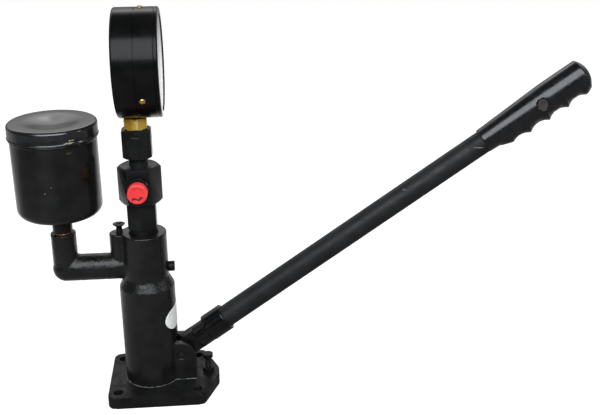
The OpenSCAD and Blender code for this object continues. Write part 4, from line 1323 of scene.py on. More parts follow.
@dataclass
class BaseAndBody(Assembly):
    """Cast base plate, pump column with its arms, the lever's pin and the blank label."""

    column_r: float = 27.0
    base_top: float = 12.0
    shoulder: Span = (112.0, 126.0)
    arm_from: float = -23.0
    label_turn: float = -7.5
    label_height: float = 82.5
    label_w: float = 38.0
    label_h: float = 22.0
    label_tilt: float = 14.0
    label_t: float = 0.25
    label_reach: float = 20.0
    label_sides: int = 64
    label_steps: int = 192
    seam_r: float = 0.5
    seam_out: float = 0.15
    seam_gap: float = 0.1
    seam_sides: int = 10
    seam_steps: int = 128
    seam_from: float = 23.0
    base_foot: float = 0.5
    base_voxel: float = 0.75
    base_passes: int = 4
    base_lumps: float = 0.22
    body_voxel: float = 0.9
    body_passes: int = 2
    body_lumps: float = 0.5
    lump_size: float = 2.4
    blend_passes: int = 24
    arm_core: float = 3.5
    boss_x: Span = (-38.0, -14.0)
    boss_z: Span = (137.0, 154.0)
    bend_x: Span = (-72.0, -55.0)
    bend_z: Span = (140.0, 156.0)
    ear_reach: float = 44.0
    ear_half: float = 14.0
    pivot: tuple[float, float] = PIVOT
    pin_r: float = 4.0
    locating_edge: float = 0.35

    def build(self) -> None:
        """Models the castings, the foot seam, the pin and the label."""
        base = Bench.cast_copy("base_plate", "cast_base", self.base_voxel, self.base_passes)
        Bench.roughen(base, self.base_lumps, self.lump_size, lambda p: p.z > self.base_foot)
        self.hand_in(base, BASE_PAINT, "base_plate", angle=CAST_ANGLE)
        body = Bench.cast_copy("pump_body", "cast_body", self.body_voxel, self.body_passes)
        Bench.soften(body, self.blend_passes, self.is_blend)
        Bench.roughen(body, self.body_lumps, self.lump_size, self.is_rough)
        self.hand_in(body, BODY_PAINT, "pump_body", angle=CAST_ANGLE)
        self.foot_seam()
        self.label()
        self.pin()
        screw = Bench.soft_edges("locating_screw", "locating_bolt", self.locating_edge)
        self.hand_in(screw, BLACK_SCREW, "locating_screw")

    def is_rough(self, point: Vector) -> bool:
        """Tells whether a point, in millimetres, is on raw casting."""
        return point.x < self.arm_from or self.shoulder[0] < point.z < self.shoulder[1]

    def is_blend(self, point: Vector) -> bool:
        """Tells whether a point, in millimetres, is where the arm's parts flow together.

        Args:
            point: Point on the body.

        Returns:
            Whether it is blended.
        """
        spots = ((self.boss_x, self.boss_z), (self.bend_x, self.bend_z))
        near = any(x[0] < point.x < x[1] and z[0] < point.z < z[1] for x, z in spots)
        return abs(point.y) > self.arm_core and near

    def foot_seam(self) -> None:
        """Lays the thin bright line where the column and its ears meet the base; its pale colour is
        chipped paint and painted highlight.
        """
        r, s, z = self.column_r + self.seam_out, self.seam_r, self.base_top
        ring = Bench.arc((r, z), s, 0, 360, self.seam_sides)
        parts = [Bench.lathe("foot_seam", ring, self.seam_steps)]
        lie = Matrix.Rotation(math.pi / 2, 4, "Y")
        for side in (-1.0, 1.0):
            bar = Bench.prism("bar", self.seam_sides, s, self.seam_from, self.ear_reach)
            place = Vector((0, side * (self.ear_half + self.seam_gap), z)) * MM
            Bench.place(bar, Matrix.Translation(place) @ lie)
            parts.append(bar)
        self.hand_in(Bench.join("foot_seam", parts), SEAM_CHIP_AND_HIGHLIGHT, body="stand", angle=CAST_ANGLE)

    def label(self) -> None:
        """Wraps the oval label on the column."""
        flat = (self.label_w - self.label_h) / 2 * MM
        oval = Bench.prism("oval", self.label_sides, self.label_h / 2, 0, self.column_r + 5)
        for side in (-1.0, 1.0):
            Bench.pick(oval, lambda p, side=side: p.x * side > 1e-6)
            bpy.ops.transform.translate(value=(side * flat, 0, 0))
            Bench.leave()
        turn = Matrix.Rotation(math.radians(self.label_turn), 4, "Z")
        tilt = Matrix.Rotation(math.radians(self.label_tilt), 4, "Z")
        place = Matrix.Translation((0, 0, self.label_height * MM))
        Bench.place(oval, place @ turn @ TOWARD_LEVER @ tilt)
        r, t = self.column_r, self.label_t
        low, high = self.label_height - self.label_reach, self.label_height + self.label_reach
        sleeve = [(r, low), (r + t, low), (r + t, high), (r, high), (r, low)]
        piece = Bench.lathe("blank_label", sleeve, self.label_steps)
        Bench.combine(piece, oval, "INTERSECT")
        self.hand_in(piece, LABEL_PAPER, "label")

    def pin(self) -> None:
        """Turns the lever's pin with its rounded ends."""
        r, half = self.pin_r, self.ear_half
        side = [(0, half), (r - 1.2, half), (r - 0.3, half - 0.3), (r, half - 0.9)]
        profile = side + [(x, -z) for x, z in reversed(side)]
        pin = Bench.lathe("turned_pin", profile, Bench.PIN_STEPS)
        place = Matrix.Translation((self.pivot[0] * MM, 0, self.pivot[1] * MM))
        Bench.place(pin, place @ TOWARD_USER)
        self.hand_in(pin, PIN_PAINT, "pivot_pin")

    def dress(self) -> None:
        """Dresses the screws under the base."""
        self.paint(BLACK_SCREW, "body_screws")


@dataclass
class LeverArm(Assembly):
    """Forged lever head, handle tube, moulded grip and the stop screw under the lever."""

    pivot: tuple[float, float] = PIVOT
    lift: float = 2.5
    tube_r: float = 11.2
    tube_wall: float = 2.4
    tube_edge: float = 0.4
    tube_from: float = 38.0
    tube_to: float = 478.0
    head_voxel: float = 0.45
    head_passes: int = 5
    grip_voxel: float = 0.6
    grip_passes: int = 10
    plug_r: float = 5.2
    plug_h: float = 2.0
    plug_shank: float = 2.0
    stop_x: float = 56.0
    stop_r: float = 3.0
    stop_thread: float = 0.4
    stop_pitch: float = 1.0
    stop_flats: float = 10.0
    stop_head: float = 4.0
    stop_edge: float = 0.25
    nut_play: float = 0.05
    nut_turn: float = 40.0

    def along(self, distance: float) -> Matrix:
        """Gives the frame on the handle's axis, with Z along it.

        Args:
            distance: Distance from the pivot along the handle.

        Returns:
            The frame, in metres.
        """
        a = math.radians(HANDLE_TURN)
        way, up = Vector((math.cos(a), 0, math.sin(a))), Vector((-math.sin(a), 0, math.cos(a)))
        start = Vector((self.pivot[0], 0, self.pivot[1])) + way * distance + up * self.lift
        return Matrix.Translation(start * MM) @ Matrix.Rotation(math.pi / 2 - a, 4, "Y")

    def build(self) -> None:
        """Models the head, the tube, the grip and the stop screw."""
        lie = self.along(0.0)
        head = Bench.cast_copy("lever_head", "forged_head", self.head_voxel, self.head_passes, lie)
        self.hand_in(head, FORGED_GLOSS, "lever_head", angle=CAST_ANGLE)
        r, e, length = self.tube_r, self.tube_edge, self.tube_to - self.tube_from
        bore = r - self.tube_wall
        tube = Bench.lathe("drawn_tube", [
            (bore, e), (bore + e, 0), (r - e, 0), (r, e), (r, length - e), (r - e, length),
            (bore + e, length), (bore, length - e), (bore, e),
        ])
        Bench.place(tube, self.along(self.tube_from))
        self.hand_in(tube, TUBE_PAINT, "handle_tube")
        grip = Bench.cast_copy("grip", "moulded_grip", self.grip_voxel, self.grip_passes, lie)
        self.hand_in(grip, GRIP_GLOSS, "grip", angle=CAST_ANGLE)
        self.recess_screw()
        self.stop_screw()

    def recess_screw(self) -> None:
        """Models the dished screw head at the bottom of the grip's recess."""
        low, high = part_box("grip_screw")
        foot, top, r = -high.y / MM, -low.y / MM, self.plug_r
        seat = top - self.plug_h
        screw = Bench.lathe("recess_screw", [
            (0, foot), (self.plug_shank, foot), (self.plug_shank, seat), (r, seat), (r, top - 0.3),
            (r - 0.3, top), (0.7 * r, top - 0.15), (0.4 * r, top - 0.4), (0, top - 0.5),
        ], Bench.PIN_STEPS)
        middle = (low + high) / 2
        Bench.place(screw, Matrix.Translation((middle.x, 0, middle.z)) @ TOWARD_USER)
        self.hand_in(screw, DUSTY_SCREW, "grip_screw")

    def stop_screw(self) -> None:
        """Models the threaded stop screw and its lock nut."""
        low, high = (corner.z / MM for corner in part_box("stop_bolt"))
        under = high - self.stop_head
        bolt = HexFitting("stop_screw", self.stop_flats, under, high, edge=self.stop_edge).make()
        top = under + 0.5
        thread = Bench.thread(self.stop_r, self.stop_thread, low, top, self.stop_pitch)
        shank = Bench.lathe("shank", [(0, low), *thread, (0, top)], Bench.BORE_STEPS)
        Bench.combine(bolt, shank, "UNION")
        place = Matrix.Translation((self.stop_x * MM, 0, 0))
        Bench.place(bolt, place)
        self.hand_in(bolt, BLACK_SCREW, "stop_bolt")
        low, high = (corner.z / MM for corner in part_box("stop_nut"))
        nut = HexFitting(
            "stop_lock_nut", self.stop_flats, low, high, self.nut_turn,
            bores=[(self.stop_r + self.nut_play, low - 1, high + 1)], edge=self.stop_edge,
        ).make()
        Bench.place(nut, place)
        self.hand_in(nut, BLACK_SCREW, "stop_nut")


@dataclass
class DeliveryStack(Assembly):
    """Valve holder, outlet block with its nipple and cap, the gauge's nut and the bleed screw."""

    small_flats: float = 27.0
    large_flats: float = 36.0
    holder_span: Span = (174.5, 201.5)
    holder_collars: tuple[Rod, ...] = ((13.4, 155.0, 176.0), (9.0, 200.0, 211.5))
    holder_bores: tuple[Rod, ...] = ((6.0, 150.0, 178.0), (1.5, 170.0, 215.0))
    block_span: Span = (201.5, 238.0)
    block_turn: float = 30.0
    block_edge: float = 0.45
    block_collars: tuple[Rod, ...] = ((9.0, 237.0, 246.0), (7.9, 245.0, 258.0))
    block_bores: tuple[Rod, ...] = ((9.1, 190.0, 211.6), (1.5, 205.0, 265.0))
    nut_span: Span = (246.0, 274.0)
    nut_bores: tuple[Rod, ...] = ((8.0, 240.0, 259.5), (7.05, 250.0, 280.0))
    port_z: float = 221.5
    port_seat: Rod = (11.0, 17.4, 40.0)
    port_bore: float = 1.5
    nipple_r: float = 6.0
    nipple_span: Span = (6.4, 36.4)
    collar_r: float = 10.0
    collar_span: Span = (17.4, 23.4)
    thread_r: float = 7.0
    thread_deep: float = 0.6
    thread_pitch: float = 1.5
    nipple_steps: int = 72
    cap_r: float = 9.26
    cap_bore: float = 7.06
    cap_span: Span = (28.7, 38.7)
    cap_floor: float = 36.7
    bleed_x: float = -23.0
    bleed_top: float = 179.0
    bleed_r: float = 3.0
    bleed_head_r: float = 6.0
    bleed_length: float = 24.0
    bleed_thread: float = 0.4
    bleed_pitch: float = 1.0
    cross_turns: tuple[float, ...] = (45.0, 135.0)
    cross_long: float = 3.6
    cross_half: float = 0.7
    cross_deep: float = 2.0

    def build(self) -> None:
        """Models the three black hexagons, the outlet and the bleed screw."""
        holder = HexFitting(
            "valve_hexagon", self.small_flats, *self.holder_span,
            collars=self.holder_collars, bores=self.holder_bores,
        )
        self.hand_in(holder.make(), BLACK_OXIDE, "valve_holder")
        seat = Bench.lathe("seat", HexFitting.rod(*self.port_seat))
        Bench.place(seat, self.toward_user())
        block = HexFitting(
            "outlet_hexagon", self.large_flats, *self.block_span, self.block_turn,
            self.block_collars, self.block_bores, [seat], self.block_edge,
        )
        self.hand_in(block.make(), BLACK_OXIDE, "outlet_block")
        nut = HexFitting("gauge_hexagon", self.small_flats, *self.nut_span, bores=self.nut_bores)
        self.hand_in(nut.make(), BLACK_OXIDE, "gauge_nut")
        self.nipple()
        self.cap()
        self.bleeder()

    def toward_user(self) -> Matrix:
        """Gives the outlet's frame, with Z toward the user."""
        return Matrix.Translation((0, 0, self.port_z * MM)) @ TOWARD_USER

    def nipple(self) -> None:
        """Turns the outlet nipple with its collar and thread."""
        bore, neck, r = self.port_bore, self.nipple_r, self.collar_r
        (low, tip), (seat, front) = self.nipple_span, self.collar_span
        nipple = Bench.lathe("outlet_thread", [
            (bore, low), (neck, low), (neck, seat), (r - 0.4, seat), (r, seat + 0.4),
            (r, front - 0.9), (r - 0.9, front),
            *Bench.thread(self.thread_r, self.thread_deep, front, tip - 0.5, self.thread_pitch),
            (neck - 0.1, tip), (neck - 1.0, tip), (bore, tip - 4.0), (bore, low),
        ], self.nipple_steps)
        Bench.place(nipple, self.toward_user())
        self.hand_in(nipple, NIPPLE_GLOSS, "outlet_nipple")

    def cap(self) -> None:
        """Turns the red cap with its dished end."""
        r, bore, end = self.cap_r, self.cap_bore, self.cap_floor
        low, top = self.cap_span
        cap = Bench.lathe("thread_cap", [
            (0, top - 0.8), (5.4, top - 0.8), (6.0, top - 0.6), (6.2, top - 0.2), (6.6, top),
            (r - 0.76, top), (r - 0.26, top - 0.3), (r, top - 0.9), (r, low + 0.7),
            (r - 0.26, low + 0.2), (r - 0.66, low), (bore + 0.24, low), (bore, low + 0.3),
            (bore, end), (0, end),
        ])
        Bench.place(cap, self.toward_user())
        self.hand_in(cap, CAP_RED, "outlet_cap")

    def bleeder(self) -> None:
        """Models the cross-slotted bleed screw."""
        top, r, head = self.bleed_top, self.bleed_r, self.bleed_head_r
        low = top - self.bleed_length
        screw = Bench.lathe("cross_screw", [
            (0, low), *Bench.thread(r, self.bleed_thread, low, top - 4.0, self.bleed_pitch),
            (r - 0.1, top - 3.0), (head - 0.3, top - 0.7), (head, top - 0.5), (head, top - 0.2),
            (head - 0.3, top), (0, top),
        ], Bench.PIN_STEPS)
        far, half = self.cross_long, self.cross_half
        for angle in self.cross_turns:
            slot = Bench.block("slot", (-far, -half, top - self.cross_deep), (far, half, top + 1))
            Bench.place(slot, Matrix.Rotation(math.radians(angle), 4, "Z"))
            Bench.combine(screw, slot, "DIFFERENCE")
        Bench.place(screw, Matrix.Translation((self.bleed_x * MM, 0, 0)))
        self.hand_in(screw, BLACK_SCREW, "bleed_screw")

    def dress(self) -> None:
        """Dresses the seal in the gauge's nut."""
        self.paint(COPPER, "gauge_washer")


@dataclass
class PressureGauge(Assembly):
    """Case, bezel, glass, dial and the works behind it."""

    centre: float = 335.3
    radius: float = 50.0
    back: float = -14.3
    seam: float = 6.0
    front: float = 27.1
    lip_r: float = 44.0
    lip_t: float = 1.2
    inner_r: float = 47.5
    glass_r: float = 47.2
    glass_low: float = 22.9
    glass_t: float = 2.5
    glass_top: float = 26.4
    sleeve_r: float = 47.3
    sleeve_wall: float = 1.7
    sleeve_end: float = 15.0
    back_r: float = 2.2
    groove: float = 23.2
    lip_facing: float = 0.8
    stem_edge: float = 0.6
    wall: float = 2.0
    stem_r: float = 5.0
    screw_x: float = 11.0
    screw_seat: float = 49.8
    screw_top: float = 51.6
    screw_r: float = 2.8
    screw_foot: float = 45.6
    shank_r: float = 1.3
    slot_half: float = 0.35
    slot_deep: float = 0.6
    screw_angles: tuple[float, ...] = (90.0, 210.0, 330.0)
    screw_slots: tuple[float, ...] = (20.0, 75.0, 130.0)
    dial_top: float = 16.0
    full_scale: int = 400
    sweep: float = 270.0
    zero: float = 225.0
    mark_r: float = 41.0
    ink_low: float = 0.01
    ring_half: float = 0.2
    ring_high: float = 0.07
    gap_size: float = 3.0
    gap_drop: float = 2.2
    tick_step: int = 10
    tick_high: float = 0.08
    tick_edge: float = 0.03
    ticks: tuple[tuple[int, float, float], ...] = (
        (100, 6.0, 0.45), (50, 4.4, 0.3), (10, 2.6, 0.2),
    )
    number_step: int = 100
    number_r: float = 28.5
    number_size: float = 7.5
    number_half: float = 0.04
    number_lift: float = 0.06

    def facing(self) -> Matrix:
        """Gives the dial's frame: X and Y span the dial and Z points out of it."""
        return Matrix.Translation((0, 0, self.centre * MM)) @ TOWARD_LEVER

    def build(self) -> None:
        """Models the case, the bezel, the stem and the dial's marks."""
        self.case()
        self.bezel()
        self.window()
        self.screws()
        stem = Bench.soft_edges("gauge_socket", "brass_stem", self.stem_edge)
        self.hand_in(stem, STEM_BRASS, "gauge_socket")
        self.marks()
        self.numbers()

    def case(self) -> None:
        """Turns the case with its rolled back edge."""
        r, b, s, t = self.radius, self.back, self.seam, self.wall
        c, sleeve, end = self.back_r, self.sleeve_r, self.sleeve_end
        inner = sleeve - self.sleeve_wall
        case = Bench.lathe("gauge_shell", [
            (0, b), (r - 3.4, b), *Bench.arc((r - c, b + c), c, -80, 0), (r, s - 0.9),
            (r - 0.6, s - 0.7), (r - 0.6, s), (sleeve, s), (sleeve, end), (inner, end),
            (inner, s - t), (r - t, s - t), (r - t, b + t), (0, b + t),
        ], Bench.SHELL_STEPS)
        Bench.place(case, self.facing())
        low = self.centre - self.radius
        way = Bench.lathe("way", HexFitting.rod(self.stem_r, low - 2, low + 8))
        Bench.combine(case, way, "DIFFERENCE")
        self.hand_in(case, GAUGE_ENAMEL, "gauge_case")

    def bezel(self) -> None:
        """Turns the bezel ring and sinks its screw seats."""
        r, f, g, s = self.radius, self.front, self.groove, self.seam
        lip, inner, under = self.lip_r, self.inner_r, self.front - self.lip_t
        bezel = Bench.lathe("gauge_ring", [
            (inner, s), (r - 0.2, s), (r, s + 0.2), (r, g - 0.6), (r - 0.4, g - 0.2),
            (r - 0.4, g + 0.2), (r, g + 0.6), (r, f - 1.7), (r - 0.5, f - 0.6), (r - 1.5, f),
            (lip + 0.5, f), (lip, f - 0.4), (lip, under), (inner, under), (inner, s),
        ], Bench.SHELL_STEPS)
        Bench.place(bezel, self.facing())
        for angle in self.screw_angles:
            hole = HexFitting.rod(self.screw_r + 0.1, self.screw_seat, self.screw_top + 2.4)
            seat = Bench.lathe("seat", hole, Bench.SCREW_STEPS)
            Bench.place(seat, self.on_rim(angle, 0.0))
            Bench.combine(bezel, seat, "DIFFERENCE")
        self.hand_in(bezel, GAUGE_ENAMEL, "gauge_bezel")
        bezel.data.materials.append(PAINTS.get(LIP_ENAMEL))
        for face in bezel.data.polygons:
            if face.normal.x > self.lip_facing:
                face.material_index = 1

    def window(self) -> None:
        """Turns the window, whose middle stands up through the bezel."""
        low, top, r, lip = self.glass_low, self.glass_top, self.glass_r, self.lip_r
        step = low + self.glass_t
        pane = Bench.lathe("raised_window", [
            (0, low), (r, low), (r, step), (lip - 0.2, step), (lip - 0.2, top - 0.3),
            (lip - 0.6, top - 0.1), (lip - 4, top), (0, top),
        ], Bench.SHELL_STEPS)
        Bench.place(pane, self.facing())
        self.hand_in(pane, GLASS, "gauge_glass")

    def on_rim(self, angle: float, turn: float) -> Matrix:
        """Gives a frame on the bezel's rim, with Z out of it and a turn about Z.

        Args:
            angle: Place round the rim, in degrees.
            turn: Turn about Z, in degrees.

        Returns:
            The frame, in metres.
        """
        a = math.radians(angle)
        out = Vector((0, math.cos(a), math.sin(a)))
        axis = Vector((1, 0, 0))
        third = out.cross(axis)
        turned = Matrix((axis, third, out)).transposed().to_4x4()
        place = Matrix.Translation((self.screw_x * MM, 0, self.centre * MM))
        return place @ turned @ Matrix.Rotation(math.radians(turn), 4, "Z")

    def screws(self) -> None:
        """Models the three slotted brass screws."""
        parts = []
        seat, top, r = self.screw_seat, self.screw_top, self.screw_r
        foot, shank, half = self.screw_foot, self.shank_r, self.slot_half
        for angle, turn in zip(self.screw_angles, self.screw_slots):
            screw = Bench.lathe("screw", [
                (0, foot), (shank, foot), (shank, seat), (r - 0.2, seat), (r, seat + 0.2),
                (r, seat + 0.6), (r - 0.3, seat + 1.1), (r - 1.0, top - 0.2), (r - 1.8, top),
                (0, top),
            ], Bench.SCREW_STEPS)
            slot = Bench.block("slot", (-4, -half, top - self.slot_deep), (4, half, top + 1))
            Bench.combine(screw, slot, "DIFFERENCE")
            Bench.place(screw, self.on_rim(angle, turn))
            parts.append(screw)
        self.hand_in(Bench.join("ring_screws", parts), SCREW_BRASS, "bezel_screws")

    def at(self, value: float) -> float:
        """Gives the dial angle of a reading, in radians."""
        return math.radians(self.zero - self.sweep * value / self.full_scale)

    def marks(self) -> None:
        """Models the dial's ticks and its arc of ink."""
        r, z, h = self.mark_r, self.dial_top, self.ring_half
        low, high = z + self.ink_low, z + self.ring_high
        ring = Bench.lathe("dial_marks", [
            (r - h, low), (r + h, low), (r + h, high), (r - h, high), (r - h, low),
        ], Bench.SHELL_STEPS)
        gap = Bench.prism("gap", 3, self.gap_size * r, z - 1, z + 1)
        Bench.place(gap, Matrix.Translation((0, -self.gap_drop * r * MM, 0)))
        Bench.combine(ring, gap, "DIFFERENCE")
        parts = [ring]
        for value in range(0, self.full_scale + 1, self.tick_step):
            length, half = next(tick[1:] for tick in self.ticks if value % tick[0] == 0)
            tick = Bench.block("tick", (r - length, -half, low), (r, half, z + self.tick_high))
            Bench.bevel(tick, self.tick_edge, 1)
            Bench.place(tick, Matrix.Rotation(self.at(value), 4, "Z"))
            parts.append(tick)
        piece = Bench.join("dial_marks", parts)
        Bench.place(piece, self.facing())
        self.hand_in(piece, MARK_BLACK, body="stand")

    def numbers(self) -> None:
        """Models the dial's plain numbers."""
        parts = []
        for value in range(0, self.full_scale + 1, self.number_step):
            Bench.clear()
            bpy.ops.object.text_add()
            text = bpy.context.view_layer.objects.active
            text.data.body = str(value)
            text.data.size = self.number_size * MM
            text.data.extrude = self.number_half * MM
            text.data.align_x, text.data.align_y = "CENTER", "CENTER"
            bpy.ops.object.convert(target="MESH")
            number = Bench.start("number")
            a, r = self.at(value), self.number_r
            spot = Vector((math.cos(a) * r, math.sin(a) * r, self.dial_top + self.number_lift))
            Bench.place(number, Matrix.Translation(spot * MM))
            parts.append(number)
        piece = Bench.join("dial_numbers", parts)
        Bench.place(piece, self.facing())
        Bench.close(piece)
        self.hand_in(piece, MARK_BLACK, body="stand")

    def dress(self) -> None:
        """Dresses the dial and the works."""
        self.paint(BRASS, "pinion", "sector_gear", "sector_link", "movement_frame", "bourdon_tube",
                   "tube_tip")
        self.paint(RUBBER, "gauge_gasket")
        self.paint(DIAL_WHITE, "gauge_dial", "dial_spacer")
        self.paint(MARK_BLACK, "gauge_pointer")


@dataclass
class FuelCup(Assembly):
    """Spun cup with its lid on the fuel arm."""

    axis_x: float = -76.5
    low: float = 192.7
    high: float = 278.7
    radius: float = 40.0
    wall: float = 1.4
    corner: float = 9.0
    hole_r: float = 6.0
    bead_z: float = 268.4
    bead_r: float = 1.1
    lid_top: float = 283.3
    lid_low: float = 269.8
    lid_r: float = 41.5
    lid_edge: float = 3.0
    dish_r: float = 29.5
    dish_deep: float = 3.6
    dish_steps: int = 32
    hem: float = 0.5
    collar_edge: float = 0.4
    seal_edge: float = 0.3

    def stand(self) -> Matrix:
        """Gives the cup's place."""
        return Matrix.Translation((self.axis_x * MM, 0, 0))

    def build(self) -> None:
        """Spins the cup and the lid."""
        r, z, t, c = self.radius, self.low, self.wall, self.corner
        middle, bead, top = (r - c, z + c), self.bead_z, self.high
        profile = [(self.hole_r, z), *Bench.arc(middle, c, -90, 0, 10), (r, bead - 1.4)]
        profile += Bench.arc((r - 0.2, bead), self.bead_r, -60, 60, 6)
        profile += [
            (r, bead + 1.4), (r, top - 0.5), (r - 0.4, top), (r - t + 0.4, top), (r - t, top - 0.5),
        ]
        profile += Bench.arc(middle, c - t, 0, -90, 10)
        profile += [(self.hole_r, z + t), (self.hole_r, z)]
        piece = Bench.lathe("spun_cup", profile, Bench.SHELL_STEPS)
        Bench.place(piece, self.stand())
        self.hand_in(piece, CUP_ENAMEL, "reservoir_cup")
        self.lid()
        collar = Bench.soft_edges("reservoir_collar", "cup_collar", self.collar_edge)
        self.hand_in(collar, BLACK_OXIDE, "reservoir_collar")
        seal = Bench.soft_edges("reservoir_washer", "cup_seal", self.seal_edge)
        self.hand_in(seal, COPPER, "reservoir_washer")

    def lid(self) -> None:
        """Spins the dished lid."""
        top, low, r, e, t = self.lid_top, self.lid_low, self.lid_r, self.lid_edge, self.wall
        shares = [i / self.dish_steps for i in range(self.dish_steps + 1)]
        dish = [(self.dish_r * s, top - self.dish_deep * (1 - s * s) ** 2) for s in shares]
        hem = r + self.hem
        profile = dish + Bench.arc((r - e, top - e), e, 90, 0, 8)
        profile += [
            (r, low + 2.4), (r + 0.25, low + 1.8), (hem, low + 1.3), (hem, low + 0.4),
            (r + 0.1, low), (r - 1.0, low), (r - t, low + 0.4), (r - t, top - 4.6),
            (r - t - 2.4, top - 2.2),
        ]
        profile += [(x, z - t) for x, z in reversed(dish)]
        piece = Bench.lathe("spun_lid", profile, Bench.SHELL_STEPS)
        Bench.place(piece, self.stand())
        self.hand_in(piece, LID_ENAMEL, "reservoir_lid", angle=THIN_ANGLE)

    def dress(self) -> None:
        """Dresses the cup's screw and strainer."""
        self.paint(BRASS, "reservoir_screw", "strainer")


@dataclass(frozen=True)
class Coil:
    """Compression spring that shortens toward its upper end. The travel is in millimetres."""

    node: str
    name: str
    joint: str
    travel: float


@dataclass
class PumpWorks(Assembly):
    """Parts inside the column."""

    coils: tuple[Coil, ...] = (
        Coil("return_spring", "wound_return_spring", "plunger_stroke", 11.6),
        Coil("valve_spring", "wound_valve_spring", "valve_lift", 1.2),
    )

    def build(self) -> None:
        """Copies the springs as pieces of their own."""
        for coil in self.coils:
            piece = Bench.copy_of(coil.node, coil.name)
            self.hand_in(piece, SPRING_WIRE, coil.node, angle=THIN_ANGLE)
            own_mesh(piece)

    def dress(self) -> None:
        """Dresses the working parts."""
        self.paint(GROUND_STEEL, "tappet", "spring_plate", "plunger", "pump_barrel", "valve_seat",
                   "delivery_valve")


@dataclass(frozen=True)
class Lamp:
    """Soft rectangular light. Lengths are metres and the power is watts."""

    name: str
    place: Point
    aim: Point
    size: tuple[float, float]
    power: float
    colour: Point = (1.0, 1.0, 1.0)

    def hang(self) -> None:
        """Hangs the light so that it faces its aim."""
        data = bpy.data.lights.new(self.name, "AREA")
        data.shape, data.size, data.size_y = "RECTANGLE", *self.size
        data.energy, data.color = self.power, self.colour
        light = bpy.data.objects.new(self.name, data)
        bpy.context.scene.collection.objects.link(light)
        way = Vector(self.aim) - Vector(self.place)
        turn = way.to_track_quat("-Z", "Y").to_matrix().to_4x4()
        light.matrix_world = Matrix.Translation(self.place) @ turn


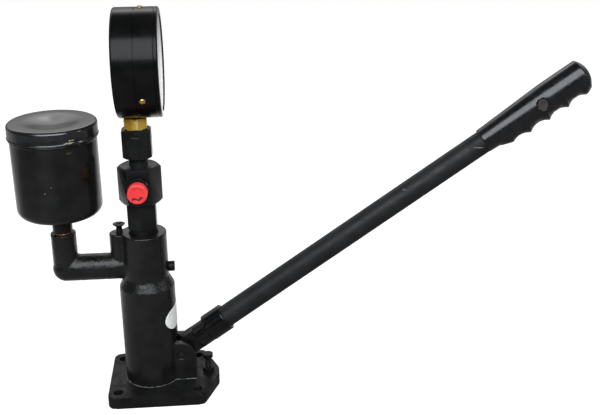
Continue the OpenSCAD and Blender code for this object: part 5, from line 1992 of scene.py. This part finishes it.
@dataclass
class Studio:
    """Pale floor, soft light and the photograph's camera. Lengths are metres."""

    lens: float = 59.06
    sensor: float = 36.0
    clip: Span = (0.01, 100.0)
    eye: Point = (0.079275, -0.890950, 0.533175)
    right: Point = (0.99628, -0.08560, -0.01011)
    up: Point = (0.04024, 0.35814, 0.93280)
    ahead: Point = (0.07623, 0.92974, -0.36025)
    floor_r: float = 8.0
    floor_sides: int = 96
    floor_rough: float = 0.9
    floor_z: float = -0.0002
    floor_grey: float = 0.4
    floor_white: float = 0.86
    far_glow: float = 0.9
    far_from: Span = (0.02, 0.34)
    far_to: Span = (1.2, 2.4)
    aside: Span = (0.12, 0.5)
    aside_fall: float = 0.6
    front_glow: float = 0.22
    left_glow: float = 0.3
    left_from: Span = (-0.7, -0.3)
    left_to: Span = (-0.4, 0.16)
    sky_behind: Span = (0.25, 0.85)
    sky_rise: Span = (0.1, 0.58)
    sky_foot: float = 0.2
    sky_gain: float = 1.35
    sky_dark: Span = (0.62, 0.8)
    sky_room: float = 0.03
    lamps: tuple[Lamp, ...] = (
        Lamp("front_box", (0.0, -1.55, 1.65), (0, 0, 0.3), (2.6, 1.6), 78.0, (0.9, 0.95, 1.0)),
        Lamp("back_box", (-0.08, 2.2, 1.9), (-0.08, 0, 0.28), (0.7, 0.35), 1.2),
        Lamp("right_strip", (2.0, -0.4, 1.1), (0, 0, 0.25), (0.3, 1.2), 6.0),
    )

    def camera(self) -> None:
        """Sets the camera at the photograph's viewpoint."""
        data = bpy.data.cameras.new("photo_camera")
        data.lens, data.sensor_width, data.sensor_fit = self.lens, self.sensor, "HORIZONTAL"
        data.clip_start, data.clip_end = self.clip
        camera = bpy.data.objects.new("photo_camera", data)
        bpy.context.scene.collection.objects.link(camera)
        axes = Matrix((Vector(self.right), Vector(self.up), -Vector(self.ahead)))
        camera.matrix_world = Matrix.Translation(self.eye) @ axes.transposed().to_4x4()
        bpy.context.scene.camera = camera

    def floor(self) -> None:
        """Lays a pale floor that glows white and keeps a faint shadow."""
        Bench.clear()
        bpy.ops.mesh.primitive_circle_add(
            vertices=self.floor_sides, radius=self.floor_r, fill_type="NGON",
            location=(0, 0, self.floor_z),
        )
        floor = Bench.start("floor")
        material = bpy.data.materials.new("pale_floor")
        material.use_nodes = True
        w = Weaver(material.node_tree)
        seen = material.node_tree.nodes["Principled BSDF"]
        seen.inputs["Base Color"].default_value = tint(*[self.floor_grey] * 3)
        seen.inputs["Roughness"].default_value = self.floor_rough
        seen.inputs["Specular IOR Level"].default_value = 0.0
        seen.inputs["Emission Color"].default_value = (1, 1, 1, 1)
        seen.inputs["Emission Strength"].default_value = self.floor_white
        hidden = w.add("ShaderNodeEmission", {"Strength": self.glow(w)})
        path = w.add("ShaderNodeLightPath", {})
        mix = w.add("ShaderNodeMixShader", {
            0: path.outputs["Is Camera Ray"], 1: hidden.outputs[0], 2: seen.outputs[0],
        })
        w.feed(material.node_tree.nodes["Material Output"].inputs["Surface"], mix.outputs[0])
        floor.data.materials.append(material)

    def glow(self, w: Weaver) -> bpy.types.NodeSocket:
        """Builds the light that the floor sends into reflections.

        Args:
            w: Weaver on the floor's material.

        Returns:
            The strength's socket.
        """
        place = w.add("ShaderNodeTexCoord", {}).outputs["Object"]
        split = w.add("ShaderNodeSeparateXYZ", {0: place})
        x, y = split.outputs["X"], split.outputs["Y"]
        aside = w.ramp(w.maths("ABSOLUTE", x), *self.aside)
        side = w.maths("SUBTRACT", 1.0, w.maths("MULTIPLY", aside, self.aside_fall))
        deep = w.maths("SUBTRACT", w.ramp(y, *self.far_from), w.ramp(y, *self.far_to))
        far = w.maths("MULTIPLY", deep, side)
        near = w.maths("SUBTRACT", 1.0, w.ramp(x, *self.left_to))
        left = w.maths("MULTIPLY", w.ramp(x, *self.left_from), near)
        front = w.maths("ADD", w.maths("MULTIPLY", left, self.left_glow), self.front_glow)
        return w.maths("ADD", w.maths("MULTIPLY", far, self.far_glow), front)

    def sky(self) -> None:
        """Lights the room from behind and leaves it dark toward the user."""
        world = bpy.data.worlds.new("studio")
        bpy.context.scene.world = world
        world.use_nodes = True
        w = Weaver(world.node_tree)
        back = world.node_tree.nodes["Background"]
        way = w.add("ShaderNodeTexCoord", {}).outputs["Generated"]
        split = w.add("ShaderNodeSeparateXYZ", {0: way})
        up = split.outputs["Z"]
        behind = w.ramp(split.outputs["Y"], *self.sky_behind)
        gain = w.maths("MULTIPLY", w.ramp(up, *self.sky_rise), self.sky_gain)
        rise = w.maths("ADD", gain, self.sky_foot)
        low = w.maths("SUBTRACT", 1.0, w.ramp(up, *self.sky_dark))
        wall = w.maths("MULTIPLY", w.maths("MULTIPLY", behind, low), rise)
        level = w.maths("ADD", wall, self.sky_room)
        path = w.add("ShaderNodeLightPath", {}).outputs["Is Camera Ray"]
        w.feed(back.inputs["Strength"], w.maths("MAXIMUM", level, path))
        back.inputs["Color"].default_value = (1, 1, 1, 1)

    def build(self) -> None:
        """Sets up the whole studio."""
        self.camera()
        self.floor()
        self.sky()
        for lamp in self.lamps:
            lamp.hang()
        bpy.context.scene.view_settings.view_transform = "Standard"


def main() -> None:
    """Builds the tester's pieces in order, dresses its solids and sets the studio."""
    logging.basicConfig(level=logging.INFO, format="%(name)s: %(message)s")
    assemblies: tuple[Assembly, ...] = (
        BaseAndBody(), LeverArm(), DeliveryStack(), PressureGauge(), FuelCup(), PumpWorks(),
    )
    for assembly in assemblies:
        assembly.build()
        assembly.dress()
    Studio().build()


if __name__ == "__main__":
    main()
